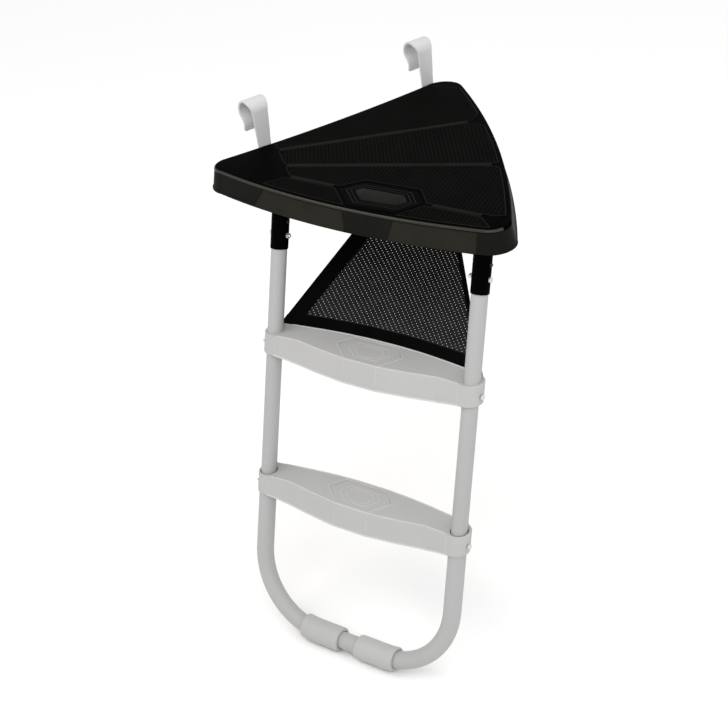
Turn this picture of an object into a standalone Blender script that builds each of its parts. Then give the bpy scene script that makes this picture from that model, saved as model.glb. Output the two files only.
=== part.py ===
"""Trampoline ladder with a fan-shaped entry platform.

A two-tread ladder of bent tube leans under a moulded platform.  Two claws on the platform's rear edge
hang on the trampoline's top rail, and the ladder's bottom bow stands on the ground.  +X runs along the
treads, +Y is the way a climber faces, +Z is up.  The model is built with the ground at zero height and is
then carried by one empty, so that the middle of the rail between the claws is the origin.
"""
import math

import bmesh
import bpy
from mathutils import Matrix, Vector

# Ladder
LEAN = math.radians(16.1)          # uprights lean away from the climber
HALF_WIDTH = 0.227                 # from the middle to each upright's axis
BOW_HEIGHT = 0.025                 # axis of the bow's straight bottom run above the ground
BOW_RADIUS = 0.145                 # bend radius at the bow's two corners
LOWER_TREAD_S = 0.313              # places along the lean, measured from the bow's bottom axis
UPPER_TREAD_S = 0.609
SOCKET_END_S = 0.775
SOCKET_BOLT_S = 0.803
BUTTON_S = 0.830
UPRIGHT_TOP_S = 0.872
UPRIGHT_BOTTOM_S = 0.235
BOW_TOP_S = 0.306
UPRIGHT_R = 0.0158
UPRIGHT_BORE_R = 0.0143
SLEEVE_TUBE_R = 0.0176             # bow and sockets, which slip over the uprights
SLEEVE_TUBE_BORE_R = 0.0161
GAP = 0.0003

# Foot sleeves on the bow
FOOT_INNER_X = 0.0205
FOOT_OUTER_X = 0.1115
FOOT_R = 0.025
FOOT_PLAY = 0.0012                 # the sleeve's bore is this much wider than the bow, to pass its bend

# Treads
TREAD_DROP = 0.046                 # height of the tread's skirt
TREAD_END_LIFT = 0.008             # the skirt is this much shallower at the tread's ends
TREAD_WALL = 0.0035
TREAD_BOLT_DROP = 0.024            # bolt axis below the tread's top
BOSS_R = 0.0205

# Platform
DECK_RISE = 0.281                  # platform top above the upper tread's top
DECK_DEPTH = 0.046
DECK_FLARE = 0.008                 # how far the skirt's foot stands out from its top edge
DECK_WALL = 0.0035
DECK_EDGE_R = 0.005
REAR_HOLLOW = 0.012                # the rear edge is hollow by this much, for a round trampoline
BAR_TOP = 0.0185                   # frame bars below the platform's top
BAR_BOTTOM = 0.0435
BAR_WIDTH = 0.020
BAR_WALL = 0.002

# Rail claws, in the plane across the rail: n outwards from the platform, z up
HOOK_PLACES = (0.811, 0.008)       # stems' middles, as fractions of the rear edge from its top end
HOOK_STEM_WIDTH = 0.030
HOOK_CLAW_WIDTH = 0.047
HOOK_THICK = 0.005
HOOK_N = 0.0045                    # middle of the stem's thickness outside the platform's edge
HOOK_FOOT_DROP = 0.118             # stem's lower end below the platform's top
RAIL_N = 0.026                     # rail axis outside the edge and above the platform's top
RAIL_RISE = 0.071
CLAW_R = 0.0215                    # claw's arc, at the middle of the strip
CLAW_TIP = ((0.0355, 0.048), (0.0338, 0.041), (0.0352, 0.034), (0.0392, 0.027))
CLAW_TIP_WIDTHS = (0.047, 0.047, 0.046, 0.045)
HOOK_NUT_N = 0.0275                # nut's seat inside the edge, behind the rear bar

# Fasteners
BOLT_ACROSS = 0.010
BOLT_HEAD = 0.004
BOLT_R = 0.003
NUT_HEIGHT = 0.005
TREAD_BOLT_LENGTH = 0.054
SOCKET_BOLT_LENGTH = 0.044
HOOK_BOLT_LENGTH = 0.043
BOLT_HOLE_R = 0.0034
CROSS_HOLE_LENGTH = 0.54           # through both uprights and past the bolts' heads
TREAD_FLANK = 0.0225               # from an upright's axis to the tread's outer face at the bolt

# Lock buttons
BUTTON_R = 0.004
BUTTON_HOLE_R = 0.0043

# Net
NET_LEFT_X = -0.238                # ends of its lower edge, behind the upper tread
NET_RIGHT_X = 0.232
NET_TOP_DROP = 0.004               # its fold below the tread's top
NET_HEM = 0.030                    # height of the hem screwed to the tread's rear skirt
NET_THICK = 0.0015
NET_CLEAR = 0.0020                 # net behind the tread's rear edge
NET_SAG = 0.010
NET_APEX_INSET = 0.0155            # top corner's edge inside the platform's rear edge

COS_L = math.cos(LEAN)
SIN_L = math.sin(LEAN)
ALONG = Vector((0.0, SIN_L, COS_L))
HEM_NORMAL = Vector((0.0, COS_L, -SIN_L))
SHEET_NORMAL = Vector((0.0, 0.45, -0.89)).normalized()
X_AXIS = Vector((1.0, 0.0, 0.0))
Z_AXIS = Vector((0.0, 0.0, 1.0))


def on_ladder(x, s):
    """Point at x across and s along the lean from the bow's bottom axis."""
    return Vector((x, s * SIN_L, BOW_HEIGHT + s * COS_L))


UPPER_TREAD_Z = on_ladder(0.0, UPPER_TREAD_S).z
DECK_Z = UPPER_TREAD_Z + DECK_RISE
DECK_Y = on_ladder(0.0, (DECK_Z - BOW_HEIGHT) / COS_L).y   # uprights' axis at the platform's top


# Scene and mesh helpers

def clear_scene():
    for old in list(bpy.data.objects):
        bpy.data.objects.remove(old, do_unlink=True)


def make_material(name, colour, roughness, metallic):
    material = bpy.data.materials.new(name)
    material.use_nodes = True
    shader = material.node_tree.nodes["Principled BSDF"]
    shader.inputs["Base Color"].default_value = (*colour, 1.0)
    shader.inputs["Roughness"].default_value = roughness
    shader.inputs["Metallic"].default_value = metallic
    return material


def add_object(name, verts, faces, look, carrier, origin=None):
    """One closed mesh object; its origin is the carrier's unless a point is given."""
    mesh = bpy.data.meshes.new(name)
    shift = Vector(origin) if origin is not None else Vector((0.0, 0.0, 0.0))
    mesh.from_pydata([tuple(Vector(v) - shift) for v in verts], [], faces)
    work = bmesh.new()
    work.from_mesh(mesh)
    bmesh.ops.recalc_face_normals(work, faces=work.faces)
    work.to_mesh(mesh)
    work.free()
    mesh.shade_smooth()
    mesh.set_sharp_from_angle(angle=math.radians(35.0))
    colour, roughness, metallic = look
    mesh.materials.append(make_material(name, colour, roughness, metallic))
    item = bpy.data.objects.new(name, mesh)
    bpy.context.collection.objects.link(item)
    item.parent = carrier
    item.location = shift
    return item


def add_tool(name, verts, faces, carrier):
    """A shape that only cuts or joins: it is never part of the object."""
    tool = add_object(name, verts, faces, ((0.5, 0.5, 0.5), 0.5, 0.0), carrier)
    tool.hide_render = True
    tool.display_type = "WIRE"
    return tool


def use_tool(item, tool, operation):
    modifier = item.modifiers.new(tool.name, "BOOLEAN")
    modifier.object = tool
    modifier.operation = operation
    modifier.solver = "EXACT"


def loft(rings, closed_loop=False):
    """Faces between rings of equal length; ends are capped unless the rings close on themselves."""
    count = len(rings[0])
    verts = [point for ring in rings for point in ring]
    faces = []
    last = len(rings) if closed_loop else len(rings) - 1
    for i in range(last):
        a = i * count
        b = ((i + 1) % len(rings)) * count
        for j in range(count):
            k = (j + 1) % count
            faces.append((a + j, a + k, b + k, b + j))
    if not closed_loop:
        faces.append(tuple(range(count)))
        faces.append(tuple(range(len(verts) - count, len(verts))))
    return verts, faces


def circle(centre, axis, radius, count, side=None):
    """Points of a circle round an axis; side sets where the first point lies."""
    axis = Vector(axis).normalized()
    side = Vector(side) if side is not None else X_AXIS
    u = (side - axis * side.dot(axis)).normalized()
    v = axis.cross(u)
    angles = [2.0 * math.pi * i / count for i in range(count)]
    return [Vector(centre) + u * radius * math.cos(a) + v * radius * math.sin(a) for a in angles]


def hexagon(centre, axis, across, side):
    """Twelve points on a hexagon: its corners and the middles of its sides."""
    corner_r = across / math.sqrt(3.0)
    points = []
    for i, point in enumerate(circle(centre, axis, corner_r, 12, side)):
        if i % 2 == 1:
            point = Vector(centre) + (point - Vector(centre)) * (across / 2.0 / corner_r)
        points.append(point)
    return points


def level(ring, axis, z):
    """Slide a ring's points along an axis until they are all at height z."""
    return [point + axis * ((z - point.z) / axis.z) for point in ring]


def tube_rings(points, tangents, radius, count):
    return [circle(p, t, radius, count) for p, t in zip(points, tangents)]


def hollow(outer, inner):
    """Mesh of a wall between outer rings and inner rings, open at both ends."""
    return loft(outer + inner[::-1], closed_loop=True)


def straight_tube(name, start, end, radius, bore, look, carrier, count=20, top_z=None):
    axis = (end - start).normalized()
    outer = tube_rings((start, end), (axis, axis), radius, count)
    inner = tube_rings((start, end), (axis, axis), bore, count)
    if top_z is not None:
        outer[1] = level(outer[1], axis, top_z)
        inner[1] = level(inner[1], axis, top_z)
    verts, faces = hollow(outer, inner)
    return add_object(name, verts, faces, look, carrier)


def rod(name, centre, axis, radius, length, carrier, count=12):
    axis = Vector(axis).normalized()
    ends = (centre - axis * length / 2.0, centre + axis * length / 2.0)
    verts, faces = loft([circle(p, axis, radius, count, side_of(axis)) for p in ends])
    return add_tool(name, verts, faces, carrier)


def side_of(axis):
    """A direction that is not parallel to the axis, for starting a circle."""
    return Z_AXIS if abs(Vector(axis).normalized().z) < 0.7 else X_AXIS


def bolt(name, seat, axis, across, head, radius, length, look, carrier):
    """Hexagon-headed bolt: seat is under the head, axis runs from the head to the tip."""
    axis = Vector(axis).normalized()
    side = side_of(axis)
    rings = [
        hexagon(seat - axis * head, axis, across * 0.9, side),
        hexagon(seat - axis * head * 0.8, axis, across, side),
        hexagon(seat, axis, across, side),
        circle(seat, axis, radius, 12, side),
        circle(seat + axis * (length - radius * 0.4), axis, radius, 12, side),
        circle(seat + axis * length, axis, radius * 0.7, 12, side),
    ]
    verts, faces = loft(rings)
    return add_object(name, verts, faces, look, carrier)


def nut(name, seat, axis, across, height, bore, look, carrier):
    """Hexagon nut: seat is the face towards the head, axis is the bolt's."""
    axis = Vector(axis).normalized()
    side = side_of(axis)
    outer = [hexagon(seat, axis, across, side), hexagon(seat + axis * height, axis, across, side)]
    inner = [circle(seat + axis * d, axis, bore, 12, side) for d in (0.0, height)]
    verts, faces = hollow(outer, inner)
    return add_object(name, verts, faces, look, carrier)


def offset_outline(points, distance):
    """Move a closed plan outline, listed anticlockwise, outwards by a distance."""
    moved = []
    count = len(points)
    for i, point in enumerate(points):
        before = (point - points[i - 1]).normalized()
        after = (points[(i + 1) % count] - point).normalized()
        normal_a = Vector((before.y, -before.x))
        normal_b = Vector((after.y, -after.x))
        normal = (normal_a + normal_b).normalized()
        moved.append(point + normal * distance / max(0.5, normal.dot(normal_a)))
    return moved


def arc(centre, radius, start, end, steps):
    """Plan points on an arc, angles in degrees."""
    angles = [math.radians(start + (end - start) * i / steps) for i in range(steps + 1)]
    return [Vector((centre[0] + radius * math.cos(a), centre[1] + radius * math.sin(a))) for a in angles]


def bowed(start, end, rise, steps):
    """Points strictly between two plan points, bowed to the right of the way from start to end."""
    way = end - start
    right = Vector((way.y, -way.x)).normalized()
    points = []
    for i in range(1, steps):
        t = i / steps
        points.append(start + way * t + right * rise * 4.0 * t * (1.0 - t))
    return points


def deck_corners():
    """The rounded left, right and top corners of the platform's plan, about the uprights' axis."""
    left = arc((-0.380, 0.040), 0.040, 165.0, 268.0, 7)
    right = arc((0.229, 0.013), 0.038, -85.0, 40.0, 8)
    top = arc((-0.203, 0.541), 0.044, 50.0, 160.0, 8)
    return left, right, top


def rear_edge(t, inset=0.0):
    """Plan point inside the hollow rear edge, t from 0 at its top end to 1 at the left corner."""
    left, right, top = deck_corners()
    way = left[0] - top[-1]
    inwards = Vector((-way.y, way.x)).normalized()
    return top[-1] + way * t + inwards * (REAR_HOLLOW * 4.0 * t * (1.0 - t) + inset)


HOOK_PLAN = [rear_edge(t) for t in HOOK_PLACES]
RAIL_DIR = (HOOK_PLAN[1] - HOOK_PLAN[0]).normalized()
RAIL_OUT = Vector((-RAIL_DIR.y, RAIL_DIR.x))
RAIL_3D = Vector((RAIL_DIR.x, RAIL_DIR.y, 0.0))
OUT_3D = Vector((RAIL_OUT.x, RAIL_OUT.y, 0.0))

# Looks: colour, roughness, metallic
PALE_TUBE = ((0.45, 0.45, 0.45), 0.45, 0.3)
PALE_PLASTIC = ((0.48, 0.48, 0.47), 0.6, 0.0)
DARK_DECK = ((0.012, 0.012, 0.011), 0.5, 0.0)
DARK_BADGE = ((0.006, 0.006, 0.006), 0.35, 0.0)
DARK_TUBE = ((0.006, 0.006, 0.006), 0.4, 0.2)
NET_CLOTH = ((0.02, 0.02, 0.02), 0.9, 0.0)
WEBBING = ((0.008, 0.008, 0.008), 0.9, 0.0)
ZINC = ((0.55, 0.55, 0.56), 0.35, 1.0)
SPRING_STEEL = ((0.35, 0.35, 0.36), 0.3, 1.0)


# Badge plates, plan corners
DECK_BADGE_PLAN = (
    (-0.112, 0.020), (-0.054, -0.036), (0.054, -0.036),
    (0.086, 0.024), (0.042, 0.072), (-0.080, 0.070),
)
TREAD_BADGE_PLAN = (
    (-0.080, 0.008), (-0.038, -0.0305), (0.038, -0.0305),
    (0.064, 0.012), (0.042, 0.040), (-0.060, 0.042),
)
BADGE_POCKET = 0.0018              # pocket depth below the top
BADGE_CHAMFER_DEPTH = 0.0006
BADGE_CHAMFER = 0.0012


def make_plate(name, base, corners, place, look, carrier):
    """Six-sided plate let into a top; place turns plan and depth into a point."""
    plan = [Vector(p) for p in corners]
    above = -0.002
    pocket = [[place(p, d) for p in plan] for d in (BADGE_POCKET, above)]
    verts, faces = loft(pocket)
    use_tool(base, add_tool(name + "_pocket", verts, faces, carrier), "DIFFERENCE")
    plate = offset_outline(plan, -GAP)
    rings = [
        [place(p, BADGE_POCKET - GAP) for p in plate],
        [place(p, BADGE_CHAMFER_DEPTH) for p in plate],
        [place(p, 0.0) for p in offset_outline(plate, -BADGE_CHAMFER)],
    ]
    verts, faces = loft(rings)
    add_object(name, verts, faces, look, carrier)


# Ladder

def tread_outline():
    """Plan of a tread, anticlockwise: bowed front and rear edges and a round boss at each end."""
    front = [(0.038, -0.035), (0.107, -0.0265), (0.160, -0.0175), (0.186, -0.0185), (0.210, -0.0212)]
    right = [Vector(p) for p in front]
    right += arc((0.2245, 0.003), 0.025, -85.0, 55.0, 7)
    rear = [(0.229, 0.0300), (0.196, 0.0350), (0.142, 0.0425), (0.089, 0.0485), (0.034, 0.0515)]
    right += [Vector(p) for p in rear]
    left = [Vector((-p.x, p.y)) for p in right[::-1]]
    return right + left


def tread_span(outline, x):
    """Front and rear y of a tread's outline at x."""
    found = []
    for i, a in enumerate(outline):
        b = outline[(i + 1) % len(outline)]
        if (a.x - x) * (b.x - x) < 0.0:
            found.append(a.y + (b.y - a.y) * (x - a.x) / (b.x - a.x))
    return min(found), max(found)


def skirt_depth(x):
    """Height of a tread's skirt at x: it gets shallower towards the ends."""
    return TREAD_DROP - TREAD_END_LIFT * min(1.0, max(0.0, (abs(x) - 0.165) / 0.055))


def tread_point(s, plan, depth):
    """Point of a tread at place s on the ladder; its skirt leans with the uprights."""
    return on_ladder(0.0, s) + Vector((plan[0], plan[1] - depth * SIN_L / COS_L, -depth))


def make_tread(name, s, bore, carrier):
    outline = tread_outline()
    inner = offset_outline(outline, -TREAD_WALL)
    edge_r = 0.0012
    edge = offset_outline(outline, -edge_r)

    def ring(points, depth):
        return [tread_point(s, p, depth) for p in points]

    rings = [
        ring(edge, 0.0),
        ring(outline, edge_r),
        [tread_point(s, p, skirt_depth(p.x)) for p in outline],
        [tread_point(s, p, skirt_depth(p.x)) for p in inner],
        ring(inner, TREAD_WALL),
    ]
    verts, faces = loft(rings)
    tread = add_object(name, verts, faces, PALE_PLASTIC, carrier)
    for side in (-1.0, 1.0):
        foot = on_ladder(side * HALF_WIDTH, s - (TREAD_DROP - TREAD_END_LIFT - 0.0008) / COS_L)
        head = on_ladder(side * HALF_WIDTH, s - 0.0015 / COS_L)
        boss_rings = [
            level(circle(foot, ALONG, BOSS_R, 20), ALONG, foot.z),
            level(circle(head, ALONG, BOSS_R, 20), ALONG, head.z),
        ]
        verts, faces = loft(boss_rings)
        label = "left" if side < 0.0 else "right"
        use_tool(tread, add_tool(name + "_boss_" + label, verts, faces, carrier), "UNION")
    for number, x in enumerate((-0.16, -0.08, 0.0, 0.08, 0.16)):
        low, high = tread_span(inner, x)
        plan = [(x - 0.00125, low - 0.001), (x + 0.00125, low - 0.001)]
        plan += [(x + 0.00125, high + 0.001), (x - 0.00125, high + 0.001)]
        plan = [Vector(p) for p in plan]
        verts, faces = loft([ring(plan, 0.0025), ring(plan, 0.034)])
        use_tool(tread, add_tool("%s_rib_%d" % (name, number), verts, faces, carrier), "UNION")
    for side in (-1.0, 1.0):
        centre = on_ladder(side * HALF_WIDTH, s)
        use_tool(tread, rod("%s_bore_%d" % (name, side), centre, ALONG, bore, 0.2, carrier, 20), "DIFFERENCE")
    make_plate(name + "_badge", tread, TREAD_BADGE_PLAN,
               lambda plan, depth: tread_point(s, plan, depth), PALE_PLASTIC, carrier)
    return tread


def make_bow(carrier):
    """U-shaped tube: up the left side, round two bends and up the right side."""
    stations = []
    bend_x = HALF_WIDTH - BOW_RADIUS
    for side, order in ((-1.0, 1), (1.0, -1)):
        leg = [((side * HALF_WIDTH, BOW_TOP_S), (0.0, -side * -1.0))]
        bend = []
        for i in range(9):
            a = math.radians(90.0 * i / 8)
            x = side * (bend_x + BOW_RADIUS * math.cos(a))
            s = BOW_RADIUS - BOW_RADIUS * math.sin(a)
            bend.append(((x, s), (side * -math.sin(a), -math.cos(a))))
        run = leg + bend
        if order < 0:
            run = [(p, (-t[0], -t[1])) for p, t in run[::-1]]
        stations += run
    points = [on_ladder(p[0], p[1]) for p, t in stations]
    tangents = []
    for p, t in stations:
        tangents.append(Vector((t[0], t[1] * SIN_L, t[1] * COS_L)))
    tangents[0] = -ALONG
    tangents[-1] = ALONG
    across = X_AXIS.cross(ALONG)
    outer = [circle(p, t, SLEEVE_TUBE_R, 16, across) for p, t in zip(points, tangents)]
    inner = [circle(p, t, SLEEVE_TUBE_BORE_R, 16, across) for p, t in zip(points, tangents)]
    verts, faces = hollow(outer, inner)
    return add_object("bottom_bow", verts, faces, PALE_TUBE, carrier)


def bow_height(x):
    """Place along the lean of the bow's axis at x near its bottom."""
    over = max(0.0, abs(x) - (HALF_WIDTH - BOW_RADIUS))
    return BOW_RADIUS - math.sqrt(BOW_RADIUS ** 2 - over ** 2)


def make_foot(name, side, carrier):
    """Sleeve round the bow's bottom, round on top with a flat pad on the ground."""
    bore = SLEEVE_TUBE_R + FOOT_PLAY
    steps = 6
    outer = []
    inner = []
    for i in range(steps + 1):
        x = FOOT_INNER_X + (FOOT_OUTER_X - FOOT_INNER_X) * i / steps
        centre = on_ladder(side * x, bow_height(x))
        rounding = 0.0025 if i in (0, steps) else 0.0
        ring = circle(centre, X_AXIS, FOOT_R - rounding, 20, Z_AXIS)
        for point in ring:
            point.z = max(point.z, 0.0025 if rounding else 0.0015)
        outer.append(ring)
        inner.append(circle(centre, X_AXIS, bore, 20, Z_AXIS))
    verts, faces = hollow(outer, inner)
    return add_object(name, verts, faces, PALE_PLASTIC, carrier)


def make_ladder(carrier):
    holes = {}
    for label, s in (("lower_tread", LOWER_TREAD_S), ("upper_tread", UPPER_TREAD_S)):
        centre = on_ladder(0.0, s - TREAD_BOLT_DROP / COS_L)
        holes[label] = rod(label + "_bolt_hole", centre, X_AXIS, BOLT_HOLE_R, CROSS_HOLE_LENGTH, carrier)
    centre = on_ladder(0.0, SOCKET_BOLT_S)
    holes["socket"] = rod("socket_bolt_hole", centre, X_AXIS, BOLT_HOLE_R, CROSS_HOLE_LENGTH, carrier)

    lower = make_tread("lower_tread", LOWER_TREAD_S, SLEEVE_TUBE_R + GAP, carrier)
    upper = make_tread("upper_tread", UPPER_TREAD_S, UPRIGHT_R + GAP, carrier)
    use_tool(lower, holes["lower_tread"], "DIFFERENCE")
    use_tool(upper, holes["upper_tread"], "DIFFERENCE")
    bow = make_bow(carrier)
    use_tool(bow, holes["lower_tread"], "DIFFERENCE")
    make_foot("left_foot_sleeve", -1.0, carrier)
    make_foot("right_foot_sleeve", 1.0, carrier)

    for side, label in ((-1.0, "left"), (1.0, "right")):
        x = side * HALF_WIDTH
        top = on_ladder(x, UPRIGHT_TOP_S)
        upright = straight_tube(label + "_upright", on_ladder(x, UPRIGHT_BOTTOM_S), top,
                                UPRIGHT_R, UPRIGHT_BORE_R, PALE_TUBE, carrier)
        socket = straight_tube(label + "_socket", on_ladder(x, SOCKET_END_S), top,
                               SLEEVE_TUBE_R, SLEEVE_TUBE_BORE_R, DARK_TUBE, carrier, top_z=DECK_Z - 0.0085)
        wall = on_ladder(x + SLEEVE_TUBE_BORE_R, BUTTON_S)
        button_hole = rod(label + "_button_hole", wall, X_AXIS, BUTTON_HOLE_R, 0.012, carrier)
        for hole in (holes["lower_tread"], holes["upper_tread"], holes["socket"], button_hole):
            use_tool(upright, hole, "DIFFERENCE")
        for hole in (holes["socket"], button_hole):
            use_tool(socket, hole, "DIFFERENCE")
        make_lock(label, x, carrier)
        inwards = Vector((-side, 0.0, 0.0))
        for tread, s in (("lower_tread", LOWER_TREAD_S), ("upper_tread", UPPER_TREAD_S)):
            axis_point = on_ladder(x, s - TREAD_BOLT_DROP / COS_L)
            seat = axis_point - inwards * (TREAD_FLANK + GAP)
            bolt("%s_%s_bolt" % (label, tread), seat, inwards, BOLT_ACROSS, BOLT_HEAD, BOLT_R,
                 TREAD_BOLT_LENGTH, ZINC, carrier)
            nut("%s_%s_nut" % (label, tread), axis_point + inwards * (BOSS_R + GAP), inwards,
                BOLT_ACROSS, NUT_HEIGHT, BOLT_R + GAP, ZINC, carrier)
        axis_point = on_ladder(x, SOCKET_BOLT_S)
        seat = axis_point - inwards * (SLEEVE_TUBE_R + GAP)
        bolt(label + "_socket_bolt", seat, inwards, BOLT_ACROSS, BOLT_HEAD, BOLT_R,
             SOCKET_BOLT_LENGTH, ZINC, carrier)
        nut(label + "_socket_nut", axis_point + inwards * (SLEEVE_TUBE_R + GAP), inwards,
            BOLT_ACROSS, NUT_HEIGHT, BOLT_R + GAP, ZINC, carrier)
    return upper


def make_lock(label, x, carrier):
    """Snap button through the upright and the socket, and the bent leaf spring behind it."""
    centre = on_ladder(x, BUTTON_S)
    flange = 0.0105
    shoulder = 0.0123
    profile = [(flange, 0.006), (shoulder, 0.006), (shoulder, BUTTON_R), (0.0195, BUTTON_R), (0.0208, 0.0025)]
    rings = [circle(centre + X_AXIS * d, X_AXIS, r, 12, Z_AXIS) for d, r in profile]
    verts, faces = loft(rings)
    add_object(label + "_lock_button", verts, faces, DARK_TUBE, carrier, origin=centre)

    half = 0.004
    thick = 0.0004
    front = 0.0098
    path = [(front, -0.015), (front, 0.012)]
    for i in range(1, 9):
        a = math.radians(20.0 * i)
        path.append((front * math.cos(a), 0.012 + 0.016 * math.sin(a)))
    path += [(-0.0112, 0.008), (-0.0122, -0.015)]
    across = X_AXIS.cross(ALONG)
    rings = []
    for i, (px, ps) in enumerate(path):
        ahead = path[min(i + 1, len(path) - 1)]
        behind = path[max(i - 1, 0)]
        way = Vector((ahead[0] - behind[0], ahead[1] - behind[1])).normalized()
        normal = X_AXIS * way.y - ALONG * way.x
        middle = centre + X_AXIS * px + ALONG * ps
        rings.append([middle + normal * thick + across * half, middle + normal * thick - across * half,
                      middle - normal * thick - across * half, middle - normal * thick + across * half])
    verts, faces = loft(rings)
    add_object(label + "_lock_spring", verts, faces, SPRING_STEEL, carrier)


# Platform

def deck_outline():
    """Plan of the platform's top edge, anticlockwise."""
    left, right, top = deck_corners()
    outline = left + bowed(left[-1], right[0], 0.032, 12) + right
    outline += bowed(right[-1], top[0], 0.026, 10) + top
    outline += bowed(top[-1], left[0], -REAR_HOLLOW, 8)
    return outline


def deck_point(plan, drop):
    return Vector((plan[0], DECK_Y + plan[1], DECK_Z - drop))


def make_bar(name, path, carrier, end_dir=None):
    """Rectangular tube along a plan path; its last end face follows the direction given."""
    def offsets(width):
        sides = []
        for hand in (1.0, -1.0):
            row = []
            for i, point in enumerate(path):
                way = (path[min(i + 1, len(path) - 1)] - path[max(i - 1, 0)]).normalized()
                cut = Vector((-way.y, way.x))
                if i == len(path) - 1 and end_dir is not None:
                    cut = end_dir.normalized()
                if cut.dot(Vector((-way.y, way.x))) < 0.0:
                    cut = -cut
                row.append(point + cut * hand * width / 2.0 / cut.dot(Vector((-way.y, way.x))))
            sides.append(row)
        return sides

    def rings(width, top, bottom):
        left, right = offsets(width)
        found = []
        for a, b in zip(left, right):
            corners = ((a, top), (b, top), (b, bottom), (a, bottom))
            found.append([deck_point(plan, drop) for plan, drop in corners])
        return found

    outer = rings(BAR_WIDTH, BAR_TOP, BAR_BOTTOM)
    inner = rings(BAR_WIDTH - 2.0 * BAR_WALL, BAR_TOP + BAR_WALL, BAR_BOTTOM - BAR_WALL)
    verts, faces = hollow(outer, inner)
    return add_object(name, verts, faces, DARK_TUBE, carrier)


def make_shell(carrier):
    outline = deck_outline()
    foot = offset_outline(outline, DECK_FLARE)
    rows = [
        (offset_outline(outline, -DECK_EDGE_R), 0.0),
        (offset_outline(outline, -0.3 * DECK_EDGE_R), 0.3 * DECK_EDGE_R),
        (outline, DECK_EDGE_R),
        (foot, DECK_DEPTH),
        (offset_outline(foot, -DECK_WALL), DECK_DEPTH),
        (offset_outline(outline, -DECK_WALL), DECK_WALL + DECK_EDGE_R),
        (offset_outline(outline, -DECK_WALL - 0.7 * DECK_EDGE_R), DECK_WALL),
    ]
    verts, faces = loft([[deck_point(p, drop) for p in points] for points, drop in rows])
    return add_object("platform_shell", verts, faces, DARK_DECK, carrier)


def make_platform(carrier):
    shell = make_shell(carrier)
    rear_inset = 0.005 + BAR_WIDTH / 2.0
    rear_points = [rear_edge(-0.025 + 0.955 * i / 8, rear_inset) for i in range(9)]
    rear = make_bar("rear_crossbar", rear_points, carrier)

    bar_y = -(BAR_TOP + BAR_BOTTOM) / 2.0 * SIN_L / COS_L
    clear = HALF_WIDTH - SLEEVE_TUBE_R - GAP
    front = make_bar("front_crossbar", [Vector((-clear, bar_y)), Vector((clear, bar_y))], carrier)

    weld = BAR_WIDTH / 2.0 + GAP
    left_meet = rear_edge(0.88, rear_inset + weld)
    right_meet = rear_edge(0.12, rear_inset + weld)
    rear_way_low = (rear_points[-1] - rear_points[-2]).normalized()
    rear_way_high = (rear_points[1] - rear_points[0]).normalized()
    left_start = Vector((-HALF_WIDTH - 0.024, bar_y + 0.012))
    right_start = Vector((HALF_WIDTH - 0.012, bar_y + 0.030))
    make_bar("left_side_bar", [left_start, left_meet], carrier, end_dir=rear_way_low)
    right = make_bar("right_side_bar", [right_start, right_meet], carrier, end_dir=rear_way_high)

    places = [
        (front, Vector((-0.13, bar_y))),
        (front, Vector((0.13, bar_y))),
        (rear, rear_edge(0.32, rear_inset)),
        (rear, rear_edge(0.64, rear_inset)),
        (right, right_start.lerp(right_meet, 0.3)),
        (right, right_start.lerp(right_meet, 0.7)),
    ]
    make_screws(shell, places, carrier)
    for side in (-1.0, 1.0):
        centre = on_ladder(side * HALF_WIDTH, UPRIGHT_TOP_S)
        relief = rod("socket_relief_%d" % side, centre, ALONG, SLEEVE_TUBE_R + 0.001, 0.048, carrier, 20)
        use_tool(shell, relief, "DIFFERENCE")
    make_hooks(shell, rear, carrier)
    make_plate("platform_badge", shell, DECK_BADGE_PLAN, deck_point, DARK_BADGE, carrier)


def make_screws(shell, places, carrier):
    """Screws up through the bars into round posts under the platform's top."""
    for number, (bar, plan) in enumerate(places, start=1):
        post = [circle(deck_point(plan, d), Z_AXIS, 0.0055, 12) for d in (DECK_WALL / 2.0, BAR_TOP - GAP)]
        verts, faces = loft(post)
        use_tool(shell, add_tool("screw_post_%d" % number, verts, faces, carrier), "UNION")
        middle = deck_point(plan, 0.035)
        hole = rod("screw_hole_%d" % number, middle, Z_AXIS, 0.0022, 0.058, carrier)
        use_tool(shell, hole, "DIFFERENCE")
        use_tool(bar, hole, "DIFFERENCE")
        bolt("platform_screw_%d" % number, deck_point(plan, BAR_BOTTOM + GAP), Z_AXIS,
             0.008, 0.002, 0.0019, 0.037, ZINC, carrier)


def hook_stations():
    """Middle line of the claw's strip as (n, z, width), from the stem's foot to the flared tip."""
    stations = [(HOOK_N, -HOOK_FOOT_DROP, HOOK_STEM_WIDTH), (HOOK_N, -0.060, HOOK_STEM_WIDTH)]
    stations += [(HOOK_N, -0.002, HOOK_STEM_WIDTH), (HOOK_N, 0.030, HOOK_STEM_WIDTH + 0.003)]
    for i in range(13):
        a = math.radians(180.0 - 19.0 * i)
        spread = min(1.0, 0.35 + 0.2 * i)
        width = HOOK_STEM_WIDTH + (HOOK_CLAW_WIDTH - HOOK_STEM_WIDTH) * spread
        stations.append((RAIL_N + CLAW_R * math.cos(a), RAIL_RISE + CLAW_R * math.sin(a), width))
    stations += [(n, z, width) for (n, z), width in zip(CLAW_TIP, CLAW_TIP_WIDTHS)]
    return stations


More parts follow.
